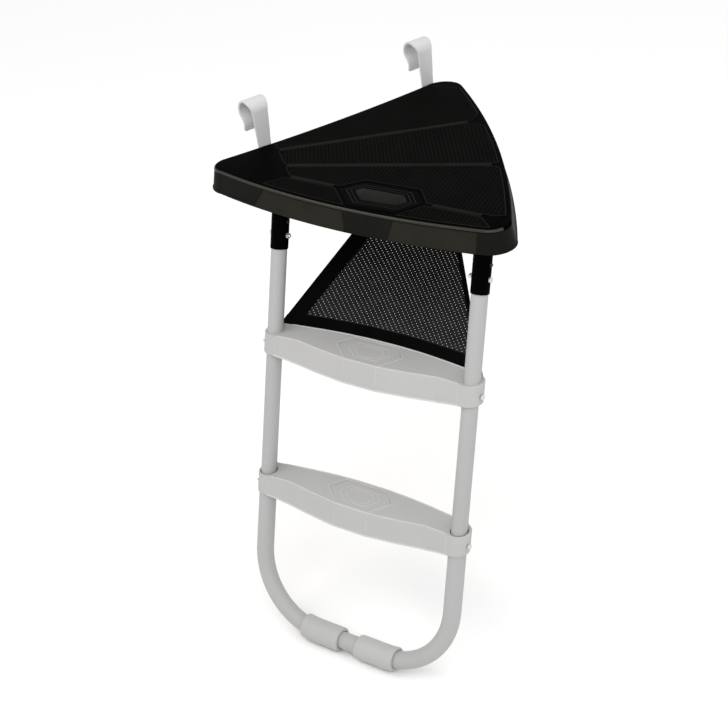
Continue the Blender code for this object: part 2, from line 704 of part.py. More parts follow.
def make_hook(name, centre, carrier):
    stations = hook_stations()
    rings = []
    for i, (n, z, width) in enumerate(stations):
        ahead = stations[min(i + 1, len(stations) - 1)]
        behind = stations[max(i - 1, 0)]
        way = Vector((ahead[0] - behind[0], ahead[1] - behind[1])).normalized()
        normal = OUT_3D * way.y - Z_AXIS * way.x
        middle = deck_point(centre, 0.0) + OUT_3D * n + Z_AXIS * z
        half = RAIL_3D * width / 2.0
        skin = normal * HOOK_THICK / 2.0
        rings.append([middle + skin + half, middle + skin - half, middle - skin - half, middle - skin + half])
    verts, faces = loft(rings)
    return add_object(name, verts, faces, PALE_TUBE, carrier)


def make_hooks(shell, rear, carrier):
    for label, centre in zip(("left", "right"), HOOK_PLAN):
        hook = make_hook(label + "_hook", centre, carrier)
        face = HOOK_N - HOOK_THICK / 2.0 - GAP
        half = HOOK_STEM_WIDTH / 2.0 + 0.002
        corners = [RAIL_3D * -half + OUT_3D * face, RAIL_3D * half + OUT_3D * face]
        corners += [RAIL_3D * half + OUT_3D * 0.04, RAIL_3D * -half + OUT_3D * 0.04]
        base = deck_point(centre, 0.0)
        depths = (DECK_EDGE_R + 0.001, DECK_DEPTH + 0.01)
        notch = [[base + c - Z_AXIS * depth for c in corners] for depth in depths]
        verts, faces = loft(notch)
        use_tool(shell, add_tool(label + "_stem_notch", verts, faces, carrier), "DIFFERENCE")
        for letter, shift in (("a", -0.008), ("b", 0.008)):
            axis_point = base + RAIL_3D * shift - Z_AXIS * (BAR_TOP + BAR_BOTTOM) / 2.0
            hole = rod("%s_hook_hole_%s" % (label, letter), axis_point, OUT_3D, BOLT_HOLE_R, 0.09, carrier)
            for item in (hook, rear, shell):
                use_tool(item, hole, "DIFFERENCE")
            seat = axis_point + OUT_3D * (HOOK_N + HOOK_THICK / 2.0 + GAP)
            bolt("%s_hook_bolt_%s" % (label, letter), seat, -OUT_3D, BOLT_ACROSS, BOLT_HEAD, BOLT_R,
                 HOOK_BOLT_LENGTH, ZINC, carrier)
            nut("%s_hook_nut_%s" % (label, letter), axis_point - OUT_3D * HOOK_NUT_N, -OUT_3D,
                BOLT_ACROSS, NUT_HEIGHT, BOLT_R + GAP, ZINC, carrier)


# Net

def net_lower_edge(u):
    """Point just behind the upper tread's rear edge, u from 0 at the left to 1 at the right."""
    x = NET_LEFT_X + (NET_RIGHT_X - NET_LEFT_X) * u
    rear = tread_span(tread_outline(), x)[1]
    return tread_point(UPPER_TREAD_S, (x, rear + NET_CLEAR), NET_TOP_DROP)


def make_net(carrier):
    """Stretched net from the upper tread's rear skirt to the foot of the right claw's stem."""
    stem = deck_point(HOOK_PLAN[1], HOOK_FOOT_DROP - 0.012)
    left_apex = stem - RAIL_3D * 0.0165 - OUT_3D * NET_APEX_INSET
    right_apex = stem + RAIL_3D * 0.012 - OUT_3D * NET_APEX_INSET
    columns = 20
    rows = 8
    front_lines = []
    back_lines = []
    for j in range(-1, rows + 1):
        v = max(0.0, j / rows)
        normal = HEM_NORMAL if j < 0 else SHEET_NORMAL
        line = []
        for i in range(columns + 1):
            u = 0.5 - 0.5 * math.cos(math.pi * i / columns)
            foot = net_lower_edge(u)
            head = left_apex.lerp(right_apex, u)
            sag = NET_SAG * 16.0 * v * (1.0 - v) * u * (1.0 - u)
            point = foot.lerp(head, v) - Z_AXIS * sag
            if j < 0:
                point -= ALONG * NET_HEM
            line.append(point)
        front_lines.append(line)
        back_lines.append([point + normal * NET_THICK for point in line])
    rings = [front + back[::-1] for front, back in zip(front_lines, back_lines)]
    verts, faces = loft(rings)
    return add_object("net", verts, faces, NET_CLOTH, carrier)


def make_net_screws(net, tread, carrier):
    """Screws through the net's hem into the upper tread's rear skirt."""
    for label, u in (("left", 0.22), ("right", 0.78)):
        middle = net_lower_edge(u) - ALONG * NET_HEM * 0.6
        hole = rod("net_hole_" + label, middle, HEM_NORMAL, 0.0022, 0.03, carrier)
        use_tool(net, hole, "DIFFERENCE")
        use_tool(tread, hole, "DIFFERENCE")
        seat = middle + HEM_NORMAL * (NET_THICK + GAP)
        bolt("net_screw_" + label, seat, -HEM_NORMAL, 0.009, 0.002, 0.0019, 0.012, ZINC, carrier)


def make_net_strap(carrier):
    """Webbing loop that ties the net's top corner to the right claw's stem."""
    centre = deck_point(HOOK_PLAN[1], 0.0) + OUT_3D * HOOK_N
    band = 0.0018
    side = HOOK_STEM_WIDTH / 2.0 + GAP
    outer = HOOK_THICK / 2.0 + GAP
    inner = NET_APEX_INSET + HOOK_N - band - 0.0005
    rings = []
    for drop, grow in ((0.092, band), (0.112, band), (0.112, 0.0), (0.092, 0.0)):
        middle = centre - Z_AXIS * drop
        corners = ((side + grow, outer + grow), (-side - grow, outer + grow))
        corners += ((-side - grow, -inner - grow), (side + grow, -inner - grow))
        rings.append([middle + RAIL_3D * along + OUT_3D * out for along, out in corners])
    verts, faces = loft(rings, closed_loop=True)
    add_object("net_strap", verts, faces, WEBBING, carrier)


def main():
    clear_scene()
    middle = (HOOK_PLAN[0] + HOOK_PLAN[1]) / 2.0 + RAIL_OUT * RAIL_N
    rail_middle = deck_point(middle, -RAIL_RISE)
    carrier = bpy.data.objects.new("rail_origin", None)
    bpy.context.collection.objects.link(carrier)
    carrier.matrix_world = Matrix.Translation(-rail_middle)
    upper_tread = make_ladder(carrier)
    make_platform(carrier)
    net = make_net(carrier)
    make_net_screws(net, upper_tread, carrier)
    make_net_strap(carrier)
    bpy.context.view_layer.update()


main()
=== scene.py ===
"""Trampoline ladder with a fan-shaped entry platform: the visual model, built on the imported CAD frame."""
import math

import bmesh
import bpy
from mathutils import Euler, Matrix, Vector


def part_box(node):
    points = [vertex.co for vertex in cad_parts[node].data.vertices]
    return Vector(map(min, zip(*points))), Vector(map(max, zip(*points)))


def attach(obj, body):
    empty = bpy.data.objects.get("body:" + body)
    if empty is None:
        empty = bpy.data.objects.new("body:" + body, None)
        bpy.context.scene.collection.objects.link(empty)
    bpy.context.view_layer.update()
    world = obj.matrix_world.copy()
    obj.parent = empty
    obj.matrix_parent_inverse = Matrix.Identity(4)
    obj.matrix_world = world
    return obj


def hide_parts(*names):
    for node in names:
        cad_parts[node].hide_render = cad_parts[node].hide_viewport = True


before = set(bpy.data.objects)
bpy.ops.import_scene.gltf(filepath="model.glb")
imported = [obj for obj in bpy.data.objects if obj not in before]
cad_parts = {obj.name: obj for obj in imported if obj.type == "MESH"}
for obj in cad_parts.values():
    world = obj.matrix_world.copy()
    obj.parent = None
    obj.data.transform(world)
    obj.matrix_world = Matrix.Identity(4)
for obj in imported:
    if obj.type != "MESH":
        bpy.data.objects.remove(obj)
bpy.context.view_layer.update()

# Dimensions shared with the CAD model, in metres
LEAN = math.radians(16.1)
HALF_WIDTH = 0.227
BOW_HEIGHT = 0.025
BOW_RADIUS = 0.145
LOWER_TREAD_S = 0.313
UPPER_TREAD_S = 0.609
SOCKET_END_S = 0.775
BUTTON_S = 0.830
BUTTON_HOLE_R = 0.0043
UPRIGHT_TOP_S = 0.872
UPRIGHT_BOTTOM_S = 0.235
BOW_TOP_S = 0.306
UPRIGHT_R = 0.0158
UPRIGHT_BORE_R = 0.0143
SLEEVE_TUBE_R = 0.0176
SLEEVE_TUBE_BORE_R = 0.0161
FOOT_INNER_X = 0.0205
FOOT_OUTER_X = 0.1115
FOOT_R = 0.025
FOOT_PLAY = 0.0012
TREAD_DROP = 0.046
TREAD_END_LIFT = 0.008
TREAD_REAR_Y = 0.0515
TREAD_EDGE_R = 0.0012
DECK_RISE = 0.281
DECK_DEPTH = 0.046
DECK_FLARE = 0.008
DECK_WALL = 0.0035
DECK_EDGE_R = 0.005
REAR_HOLLOW = 0.012
FRONT_BOW = 0.032
SIDE_BOW = 0.026
BAR_TOP = 0.0185
HOOK_PLACES = (0.811, 0.008)
HOOK_STEM_WIDTH = 0.030
HOOK_CLAW_WIDTH = 0.047
HOOK_THICK = 0.005
HOOK_N = 0.0045
HOOK_FOOT_DROP = 0.118
RAIL_N = 0.026
RAIL_RISE = 0.071
CLAW_R = 0.0215
NET_LEFT_X = -0.238
NET_RIGHT_X = 0.232
NET_TOP_DROP = 0.004
NET_HEM = 0.030
NET_THICK = 0.0015
NET_CLEAR = 0.0020
NET_SAG = 0.010
NET_APEX_INSET = 0.0155
COS_L = math.cos(LEAN)
SIN_L = math.sin(LEAN)
ALONG = Vector((0.0, SIN_L, COS_L))
HEM_NORMAL = Vector((0.0, COS_L, -SIN_L))
SHEET_NORMAL = Vector((0.0, 0.45, -0.89)).normalized()
X_AXIS = Vector((1.0, 0.0, 0.0))
Z_AXIS = Vector((0.0, 0.0, 1.0))

# The foot of the ladder's middle line on the ground, found from the frame
tread_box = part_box("upper_tread")
BASE = Vector((
    (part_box("left_upright")[0].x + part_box("right_upright")[1].x) / 2.0,
    tread_box[1].y - UPPER_TREAD_S * SIN_L - TREAD_REAR_Y + TREAD_EDGE_R * SIN_L / COS_L,
    tread_box[1].z - BOW_HEIGHT - UPPER_TREAD_S * COS_L,
))
DECK_Z = BOW_HEIGHT + UPPER_TREAD_S * COS_L + DECK_RISE
DECK_Y = (DECK_Z - BOW_HEIGHT) * SIN_L / COS_L


def on_ladder(x, s):
    return BASE + Vector((x, s * SIN_L, BOW_HEIGHT + s * COS_L))


def deck_point(plan, drop):
    return BASE + Vector((plan[0], DECK_Y + plan[1], DECK_Z - drop))


def tread_point(s, plan, depth):
    return on_ladder(0.0, s) + Vector((plan[0], plan[1] - depth * SIN_L / COS_L, -depth))


# Mesh building

class Shape:
    """Vertices and faces of one piece, gathered part by part; each face keeps its material's number."""

    def __init__(self):
        self.verts = []
        self.faces = []
        self.looks = []
        self.look = 0

    def face(self, *corners):
        self.faces.append(corners)
        self.looks.append(self.look)

    def loft(self, rings, closed_loop=False):
        """Skin a row of rings; an open row is capped at both ends."""
        base = len(self.verts)
        count = len(rings[0])
        for ring in rings:
            self.verts += [Vector(p) for p in ring]
        last = len(rings) if closed_loop else len(rings) - 1
        for i in range(last):
            a = base + i * count
            b = base + ((i + 1) % len(rings)) * count
            for j in range(count):
                k = (j + 1) % count
                self.face(a + j, a + k, b + k, b + j)
        if not closed_loop:
            self.face(*range(base, base + count))
            self.face(*range(base + count * (len(rings) - 1), base + count * len(rings)))

    def tube(self, points, radius, count=10, closed=False, squash=1.0, up=Z_AXIS):
        """Round bead along a path; squash flattens it along the up direction."""
        rings = []
        total = len(points)
        for i, p in enumerate(points):
            ahead = points[(i + 1) % total] if closed else points[min(i + 1, total - 1)]
            behind = points[i - 1] if closed else points[max(i - 1, 0)]
            way = (ahead - behind).normalized()
            side = way.cross(up).normalized()
            top = side.cross(way).normalized()
            small = 0.45 if not closed and i in (0, total - 1) else 1.0
            ring = []
            for k in range(count):
                a = 2.0 * math.pi * k / count
                ring.append(p + (side * math.cos(a) + top * squash * math.sin(a)) * radius * small)
            rings.append(ring)
        self.loft(rings, closed_loop=closed)


def smooth_mesh(obj, angle):
    obj.data.shade_smooth()
    obj.data.set_sharp_from_angle(angle=math.radians(angle))


def mesh_object(name, shape, looks=()):
    """Object made from a shape, with its faces turned outwards."""
    mesh = bpy.data.meshes.new(name)
    mesh.from_pydata([tuple(v) for v in shape.verts], [], shape.faces)
    for look in looks:
        mesh.materials.append(look)
    if looks:
        mesh.polygons.foreach_set("material_index", shape.looks)
    work = bmesh.new()
    work.from_mesh(mesh)
    bmesh.ops.recalc_face_normals(work, faces=work.faces)
    work.to_mesh(mesh)
    work.free()
    obj = bpy.data.objects.new(name, mesh)
    bpy.context.scene.collection.objects.link(obj)
    return obj


def piece(name, shape, looks, replaces=(), body="ladder", angle=35.0):
    """One visible piece made from a shape, riding on a body."""
    obj = mesh_object(name, shape, looks if isinstance(looks, (list, tuple)) else [looks])
    smooth_mesh(obj, angle)
    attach(obj, body)
    if replaces:
        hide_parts(*replaces)
    return obj


def cut(obj, shape, angle=35.0):
    """Take a shape's volume out of a piece."""
    tool = mesh_object("cutter", shape)
    modifier = obj.modifiers.new("cut", "BOOLEAN")
    modifier.object = tool
    modifier.operation = "DIFFERENCE"
    modifier.solver = "EXACT"
    graph = bpy.context.evaluated_depsgraph_get()
    result = bpy.data.meshes.new_from_object(obj.evaluated_get(graph))
    obj.modifiers.clear()
    obj.data = result
    bpy.data.objects.remove(tool)
    smooth_mesh(obj, angle)


def circle(centre, axis, radius, count, side=X_AXIS):
    axis = axis.normalized()
    u = (side - axis * side.dot(axis)).normalized()
    v = axis.cross(u)
    angles = [2.0 * math.pi * i / count for i in range(count)]
    return [centre + (u * math.cos(a) + v * math.sin(a)) * radius for a in angles]


def level(ring, axis, z):
    return [p + axis * ((z - p.z) / axis.z) for p in ring]


def offset_outline(points, distance):
    """Move a closed plan outline, listed anticlockwise, outwards."""
    moved = []
    count = len(points)
    for i, point in enumerate(points):
        before = (point - points[i - 1]).normalized()
        after = (points[(i + 1) % count] - point).normalized()
        normal_a = Vector((before.y, -before.x))
        normal_b = Vector((after.y, -after.x))
        normal = (normal_a + normal_b).normalized()
        moved.append(point + normal * distance / max(0.5, normal.dot(normal_a)))
    return moved


def arc(centre, radius, start, end, steps):
    angles = [math.radians(start + (end - start) * i / steps) for i in range(steps + 1)]
    return [Vector((centre[0] + radius * math.cos(a), centre[1] + radius * math.sin(a))) for a in angles]


# Materials

def noise(nodes, links, coords, scale, detail=3.0, rough=0.55):
    node = nodes.new("ShaderNodeTexNoise")
    node.inputs["Scale"].default_value = scale
    node.inputs["Detail"].default_value = detail
    node.inputs["Roughness"].default_value = rough
    links.new(coords, node.inputs["Vector"])
    return node.outputs["Fac"]


def spread(nodes, links, value, low, high, source=(0.3, 0.7)):
    node = nodes.new("ShaderNodeMapRange")
    node.inputs["From Min"].default_value = source[0]
    node.inputs["From Max"].default_value = source[1]
    node.inputs["To Min"].default_value = low
    node.inputs["To Max"].default_value = high
    links.new(value, node.inputs["Value"])
    return node.outputs["Result"]


def material(name, colour, vary=0.05, rough=(0.5, 0.6), patch=9.0, grain=900.0, depth=0.0001, metal=0.0,
             specular=0.5, tint=None, weave=None):
    """Colour patches, fine grain in the bump and roughness; weave adds two crossed sets of threads."""
    look = bpy.data.materials.new(name)
    look.use_nodes = True
    nodes = look.node_tree.nodes
    links = look.node_tree.links
    shader = nodes["Principled BSDF"]
    shader.inputs["Metallic"].default_value = metal
    shader.inputs["Specular IOR Level"].default_value = specular
    coords = nodes.new("ShaderNodeTexCoord").outputs["Object"]
    large = noise(nodes, links, coords, patch, 4.0)
    small = noise(nodes, links, coords, grain, 3.0, 0.6)
    mix = nodes.new("ShaderNodeMix")
    mix.data_type = "RGBA"
    dark = [c * (1.0 - vary) for c in colour]
    light = [c * (1.0 + vary) for c in (tint or colour)]
    mix.inputs["A"].default_value = (*dark, 1.0)
    mix.inputs["B"].default_value = (*light, 1.0)
    blend = nodes.new("ShaderNodeMath")
    blend.operation = "MULTIPLY_ADD"
    blend.inputs[1].default_value = 0.65
    links.new(spread(nodes, links, large, 0.0, 1.0), blend.inputs[0])
    links.new(spread(nodes, links, small, 0.0, 0.35), blend.inputs[2])
    height = small
    if weave:
        pitch, amount = weave
        threads = []
        for turn in (45.0, -45.0):
            turned = nodes.new("ShaderNodeMapping")
            turned.inputs["Rotation"].default_value = (0.0, 0.0, math.radians(turn))
            links.new(coords, turned.inputs["Vector"])
            wave = nodes.new("ShaderNodeTexWave")
            wave.inputs["Scale"].default_value = 0.314 / pitch
            wave.inputs["Distortion"].default_value = 0.4
            links.new(turned.outputs["Vector"], wave.inputs["Vector"])
            threads.append(wave.outputs["Fac"])
        both = nodes.new("ShaderNodeMath")
        both.operation = "MULTIPLY"
        links.new(threads[0], both.inputs[0])
        links.new(threads[1], both.inputs[1])
        height = nodes.new("ShaderNodeMath")
        height.operation = "MULTIPLY_ADD"
        height.inputs[1].default_value = amount
        links.new(both.outputs["Value"], height.inputs[0])
        links.new(small, height.inputs[2])
        height = height.outputs["Value"]
        links.new(height, blend.inputs[2])
    links.new(blend.outputs["Value"], mix.inputs["Factor"])
    links.new(mix.outputs["Result"], shader.inputs["Base Color"])
    medium = noise(nodes, links, coords, grain * 0.12, 4.0)
    links.new(spread(nodes, links, medium, rough[0], rough[1]), shader.inputs["Roughness"])
    bump = nodes.new("ShaderNodeBump")
    bump.inputs["Strength"].default_value = 0.6
    bump.inputs["Distance"].default_value = depth
    links.new(height, bump.inputs["Height"])
    links.new(bump.outputs["Normal"], shader.inputs["Normal"])
    return look


PALE_PAINT = material("pale_paint_look", (0.345, 0.345, 0.345), 0.03, (0.42, 0.55), 7.0, 600.0, 0.00012,
                      specular=0.35)
# Lighter copy of the pale paint: painted light that brightens the hooks to the tone of the uprights.
HOOK_PAINT_LIT = material("hook_paint_painted_light_look", (0.51, 0.51, 0.51), 0.03, (0.42, 0.55), 9.0, 600.0, 0.00012,
                      specular=0.35)
PALE_PLASTIC = material("pale_plastic_look", (0.375, 0.375, 0.371), 0.035, (0.5, 0.62), 8.0, 1500.0, 0.00012,
                        specular=0.35)
# Lighter than the tread plastic: a painted highlight on the raised beads, ridges and emblem lines of the
# treads.
PALE_RIDGE_HIGHLIGHT = material("pale_ridge_painted_highlight_look", (0.46, 0.46, 0.455), 0.03, (0.42, 0.52), 8.0, 1500.0, 0.00006)
DECK = material("deck_look", (0.0007, 0.0007, 0.0007), 0.3, (0.42, 0.55), 10.0, 1400.0, 0.00010,
                specular=0.003)
DECK_PAD = material("deck_pad_look", (0.0034, 0.0034, 0.0031), 0.25, (0.5, 0.66), 14.0, 1100.0, 0.00018,
                    specular=0.004)
# Darker than the ribs: painted shade on the sunken floor between the pad's ribs.
DECK_GROOVE_SHADE = material("deck_groove_painted_shade_look", (0.0016, 0.0016, 0.0015), 0.3, (0.5, 0.66), 14.0, 1100.0, 0.00012,
                       specular=0.004)
# Lighter than the pads: a painted highlight on the rounded pad rims and the raised bands.
DECK_RIM_HIGHLIGHT = material("deck_rim_painted_highlight_look", (0.0068, 0.0068, 0.0063), 0.2, (0.4, 0.5), 14.0, 1400.0, 0.00006,
                    specular=0.008)
DECK_SKIRT = material("deck_skirt_look", (0.0072, 0.0070, 0.0060), 0.2, (0.45, 0.6), 12.0, 1300.0, 0.00012,
                      specular=0.03)
# Lighter, warmer copy of the skirt colour for the raised skirt panels: painted light for how the light falls
# on these facets.
DECK_PANEL_LIT = material("deck_panel_painted_light_look", (0.0160, 0.0152, 0.0116), 0.16, (0.45, 0.6), 12.0, 1300.0, 0.00012,
                      specular=0.03)
# Warm tan base colour on the rounded front edge is a painted highlight; the shell gives it to the front faces
# only.
DECK_EDGE_HIGHLIGHT = material("deck_edge_painted_highlight_look", (0.0240, 0.0215, 0.0150), 0.15, (0.20, 0.28), 12.0, 1400.0, 0.00004,
                     specular=0.20)
DECK_BADGE = material("deck_badge_look", (0.0006, 0.0006, 0.0006), 0.3, (0.3, 0.4), 14.0, 1600.0, 0.00004,
                      specular=0.003)
EMBLEM = material("emblem_look", (0.0100, 0.0100, 0.0094), 0.3, (0.4, 0.55), 40.0, 1600.0, 0.00012,
                  specular=0.01)
BLACK_PAINT = material("black_paint_look", (0.0008, 0.0008, 0.0008), 0.3, (0.4, 0.52), 9.0, 700.0, 0.0001,
                       specular=0.006)
BUTTON = material("button_look", (0.02, 0.02, 0.02), 0.2, (0.25, 0.38), 30.0, 1800.0, 0.00003, metal=0.6)
SPRING = material("spring_look", (0.36, 0.36, 0.37), 0.12, (0.22, 0.34), 40.0, 2200.0, 0.00002, metal=1.0)
ZINC = material("zinc_look", (0.60, 0.61, 0.62), 0.14, (0.28, 0.45), 60.0, 1500.0, 0.00004, metal=1.0,
                tint=(0.66, 0.65, 0.62))
NET_CLOTH = material("net_mesh_look", (0.0020, 0.0020, 0.0021), 0.3, (0.8, 0.95), 20.0, 1800.0, 0.0006,
                     specular=0.04, weave=(0.0046, 1.0), tint=(0.015, 0.015, 0.0155))
WEBBING = material("webbing_look", (0.0009, 0.0009, 0.0010), 0.3, (0.78, 0.92), 20.0, 1600.0, 0.0004,
                   specular=0.01, weave=(0.0024, 1.0), tint=(0.0022, 0.0022, 0.0023))
THREAD = material("thread_look", (0.006, 0.006, 0.0065), 0.25, (0.6, 0.8), 60.0, 2400.0, 0.0002, specular=0.1)
FLOOR = material("floor_look", (0.87, 0.87, 0.87), 0.004, (0.85, 0.95), 0.8, 30.0, 0.0002, specular=0.1)

LOOK_OF = {
    "lower_tread": PALE_PLASTIC, "upper_tread": PALE_PLASTIC,
    "lower_tread_badge": PALE_PLASTIC, "upper_tread_badge": PALE_PLASTIC,
    "front_crossbar": BLACK_PAINT, "rear_crossbar": BLACK_PAINT,
    "left_side_bar": BLACK_PAINT, "right_side_bar": BLACK_PAINT,
    "left_lock_button": BUTTON, "right_lock_button": BUTTON,
    "left_lock_spring": SPRING, "right_lock_spring": SPRING,
}
for node_name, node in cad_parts.items():
    look = LOOK_OF.get(node_name)
    if look is None and any(word in node_name for word in ("bolt", "nut", "screw")):
        look = ZINC
    if look is not None:
        for place in node.material_slots:
            place.material = look
        node.data.set_sharp_from_angle(angle=math.radians(30.0))


# Ladder tubes

def tube_piece(name, start, end, radius, bore, look, top_z=None):
    """Tube with softly rounded ends."""
    axis = (end - start).normalized()
    lip = 0.0007
    rings = []
    rounding = ((lip, bore), (0.0, bore + lip * 0.5), (0.0, radius - lip), (lip * 0.3, radius - lip * 0.3),
                (lip, radius))
    for shift, r in rounding:
        rings.append(circle(start + axis * shift, axis, r, 48))
    for shift, r in rounding[::-1]:
        ring = circle(end - axis * shift, axis, r, 48)
        if top_z is not None:
            ring = level(ring, axis, top_z - shift)
        rings.append(ring)
    shape = Shape()
    shape.loft(rings, closed_loop=True)
    return piece(name, shape, look, (name.replace("_tube", ""),))


for side, label in ((-1.0, "left"), (1.0, "right")):
    x = side * HALF_WIDTH
    upright = tube_piece(label + "_upright_tube", on_ladder(x, UPRIGHT_BOTTOM_S), on_ladder(x, UPRIGHT_TOP_S),
                         UPRIGHT_R, UPRIGHT_BORE_R, PALE_PAINT)
    socket = tube_piece(label + "_socket_tube", on_ladder(x, SOCKET_END_S), on_ladder(x, UPRIGHT_TOP_S),
                        SLEEVE_TUBE_R, SLEEVE_TUBE_BORE_R, BLACK_PAINT,
                        top_z=BASE.z + DECK_Z - 0.0085)
    for item in (upright, socket):
        hole = Shape()
        middle = on_ladder(x, BUTTON_S)
        hole.loft([circle(middle + X_AXIS * d, X_AXIS, BUTTON_HOLE_R, 24, Z_AXIS) for d in (0.01, 0.022)])
        cut(item, hole)


def bow_stations():
    """Axis and direction of the bow from its left top round to its right top."""
    bend_x = HALF_WIDTH - BOW_RADIUS
    left = [(Vector((-HALF_WIDTH, BOW_TOP_S)), Vector((0.0, -1.0)))]
    left.append((Vector((-HALF_WIDTH, BOW_TOP_S - 0.001)), Vector((0.0, -1.0))))
    for i in range(25):
        a = math.radians(90.0 * i / 24)
        at = Vector((-bend_x - BOW_RADIUS * math.cos(a), BOW_RADIUS - BOW_RADIUS * math.sin(a)))
        left.append((at, Vector((math.sin(a), -math.cos(a)))))
    right = [(Vector((-p.x, p.y)), Vector((t.x, -t.y))) for p, t in left[::-1]]
    return left + right


bow_rings = []
across = X_AXIS.cross(ALONG)
for radius in (SLEEVE_TUBE_R, SLEEVE_TUBE_BORE_R):
    rings = []
    for place, way in bow_stations():
        direction = Vector((way.x, way.y * SIN_L, way.y * COS_L))
        rings.append(circle(on_ladder(place.x, place.y), direction, radius, 48, across))
    bow_rings += rings if radius == SLEEVE_TUBE_R else rings[::-1]
bow = Shape()
bow.loft(bow_rings, closed_loop=True)
piece("bottom_bow_tube", bow, PALE_PAINT, ("bottom_bow",))


def bow_height(x):
    over = max(0.0, abs(x) - (HALF_WIDTH - BOW_RADIUS))
    return BOW_RADIUS - math.sqrt(BOW_RADIUS ** 2 - over ** 2)


for side, label in ((-1.0, "left"), (1.0, "right")):
    ends = []
    span = FOOT_OUTER_X - FOOT_INNER_X
    steps = [(0.0, 0.0034), (0.0006, 0.0016), (0.0018, 0.0005), (0.0040, 0.0)]
    stations = [(FOOT_INNER_X + d, r) for d, r in steps]
    stations += [(FOOT_INNER_X + span * t, 0.0) for t in (0.2, 0.35, 0.5, 0.65, 0.8, 0.9)]
    stations += [(FOOT_OUTER_X - d, r) for d, r in steps[::-1]]
    outer, inner = [], []
    for x, rounding in stations:
        centre = on_ladder(side * x, bow_height(x))
        ring = circle(centre, X_AXIS, FOOT_R - rounding, 48, Z_AXIS)
        for p in ring:
            p.z = max(p.z, BASE.z + 0.0015 + rounding * 0.4)
        outer.append(ring)
        inner.append(circle(centre, X_AXIS, SLEEVE_TUBE_R + FOOT_PLAY, 48, Z_AXIS))
    sleeve = Shape()
    sleeve.loft(outer + inner[::-1], closed_loop=True)
    piece(label + "_foot_sleeve_moulding", sleeve, PALE_PLASTIC, (label + "_foot_sleeve",))


# Treads: the CAD shells with raised beads, ridges and a plain emblem

BEAD_STEPS = 56
LIP_SECTION = ((-0.0006, 0.0), (0.0007, 0.0004), (0.0009, 0.0014), (0.0007, 0.0026), (-0.0006, 0.0036))


def tread_outline():
    front = [(0.038, -0.035), (0.107, -0.0265), (0.160, -0.0175), (0.186, -0.0185), (0.210, -0.0212)]
    right = [Vector(p) for p in front]
    right += arc((0.2245, 0.003), 0.025, -85.0, 55.0, 7)
    rear = [(0.229, 0.0300), (0.196, 0.0350), (0.142, 0.0425), (0.089, 0.0485), (0.034, 0.0515)]
    right += [Vector(p) for p in rear]
    left = [Vector((-p.x, p.y)) for p in right[::-1]]
    return right + left


def skirt_depth(x):
    return TREAD_DROP - TREAD_END_LIFT * min(1.0, max(0.0, (abs(x) - 0.165) / 0.055))


def tread_span(x, inset=0.0):
    found = []
    outline = offset_outline(tread_outline(), -inset)
    for i, a in enumerate(outline):
        b = outline[(i + 1) % len(outline)]
        if (a.x - x) * (b.x - x) < 0.0:
            found.append(a.y + (b.y - a.y) * (x - a.x) / (b.x - a.x))
    return min(found), max(found)


def scaled(points, factor, centre):
    return [centre + (Vector(p) - centre) * factor for p in points]


TREAD_HEX = [Vector(p) for p in ((-0.086, 0.010), (-0.038, -0.031), (0.039, -0.031), (0.066, 0.014),
                                 (0.038, 0.043), (-0.064, 0.043))]
for label, s in (("lower_tread", LOWER_TREAD_S), ("upper_tread", UPPER_TREAD_S)):
    edge = Shape()
    for hand in (0, 1):
        path = []
        for i in range(BEAD_STEPS + 1):
            x = -0.2115 + 0.423 * i / BEAD_STEPS
            y = tread_span(x, 0.0022)[hand]
            path.append(tread_point(s, (x, y), 0.0))
        edge.tube(path, 0.0017, 12, squash=0.75)
    lip = []
    for i in range(BEAD_STEPS + 1):
        x = -0.215 + 0.43 * i / BEAD_STEPS
        low = tread_span(x)[0]
        depth = skirt_depth(x)
        ring = []
        for out, up in LIP_SECTION:
            ring.append(tread_point(s, (x, low - out), depth - up))
        lip.append(ring)
    edge.loft(lip)
    for x, width in ((-0.2105, 0.0009), (-0.038, 0.0006), (0.038, 0.0006), (0.2105, 0.0009)):
        low = tread_span(x)[0]
        path = [tread_point(s, (x, low), d) for d in (0.0015, 0.012, 0.024, skirt_depth(x) - 0.001)]
        edge.tube(path, width, 8, up=Vector((0.0, -1.0, 0.0)))
    # The beads and ridges take the lighter painted-highlight colour.
    piece(label + "_beads", edge, PALE_RIDGE_HIGHLIGHT)
    marks = Shape()
    middle = Vector((-0.006, 0.006))
    marks.tube([tread_point(s, p, 0.0) for p in TREAD_HEX], 0.0011, 8, closed=True, squash=0.6)
    for factor, r in ((0.62, 0.0008), (0.44, 0.0007)):
        marks.tube([tread_point(s, p, 0.0) for p in scaled(TREAD_HEX, factor, middle)], r, 8, True, 0.5)
    piece(label + "_emblem", marks, PALE_RIDGE_HIGHLIGHT)


# Platform

SEAMS_TOP = (-0.256, -0.056, 0.057)
SEAMS_FOOT = (-0.280, -0.048, 0.046)
PANEL_STEP = 0.0022
SEAM_HALF = 0.0012
SEAM_CLEAR = 0.008
FRONT_STEPS = 64
SIDE_STEPS = 36


def deck_corners(fine=1):
    left = arc((-0.380, 0.040), 0.040, 165.0, 268.0, 7 * fine)
    right = arc((0.229, 0.013), 0.038, -85.0, 40.0, 8 * fine)
    top = arc((-0.203, 0.541), 0.044, 50.0, 160.0, 8 * fine)
    return left, right, top


def bowed(start, end, rise, times):
    way = end - start
    right = Vector((way.y, -way.x)).normalized()
    return [start + way * t + right * rise * 4.0 * t * (1.0 - t) for t in times]


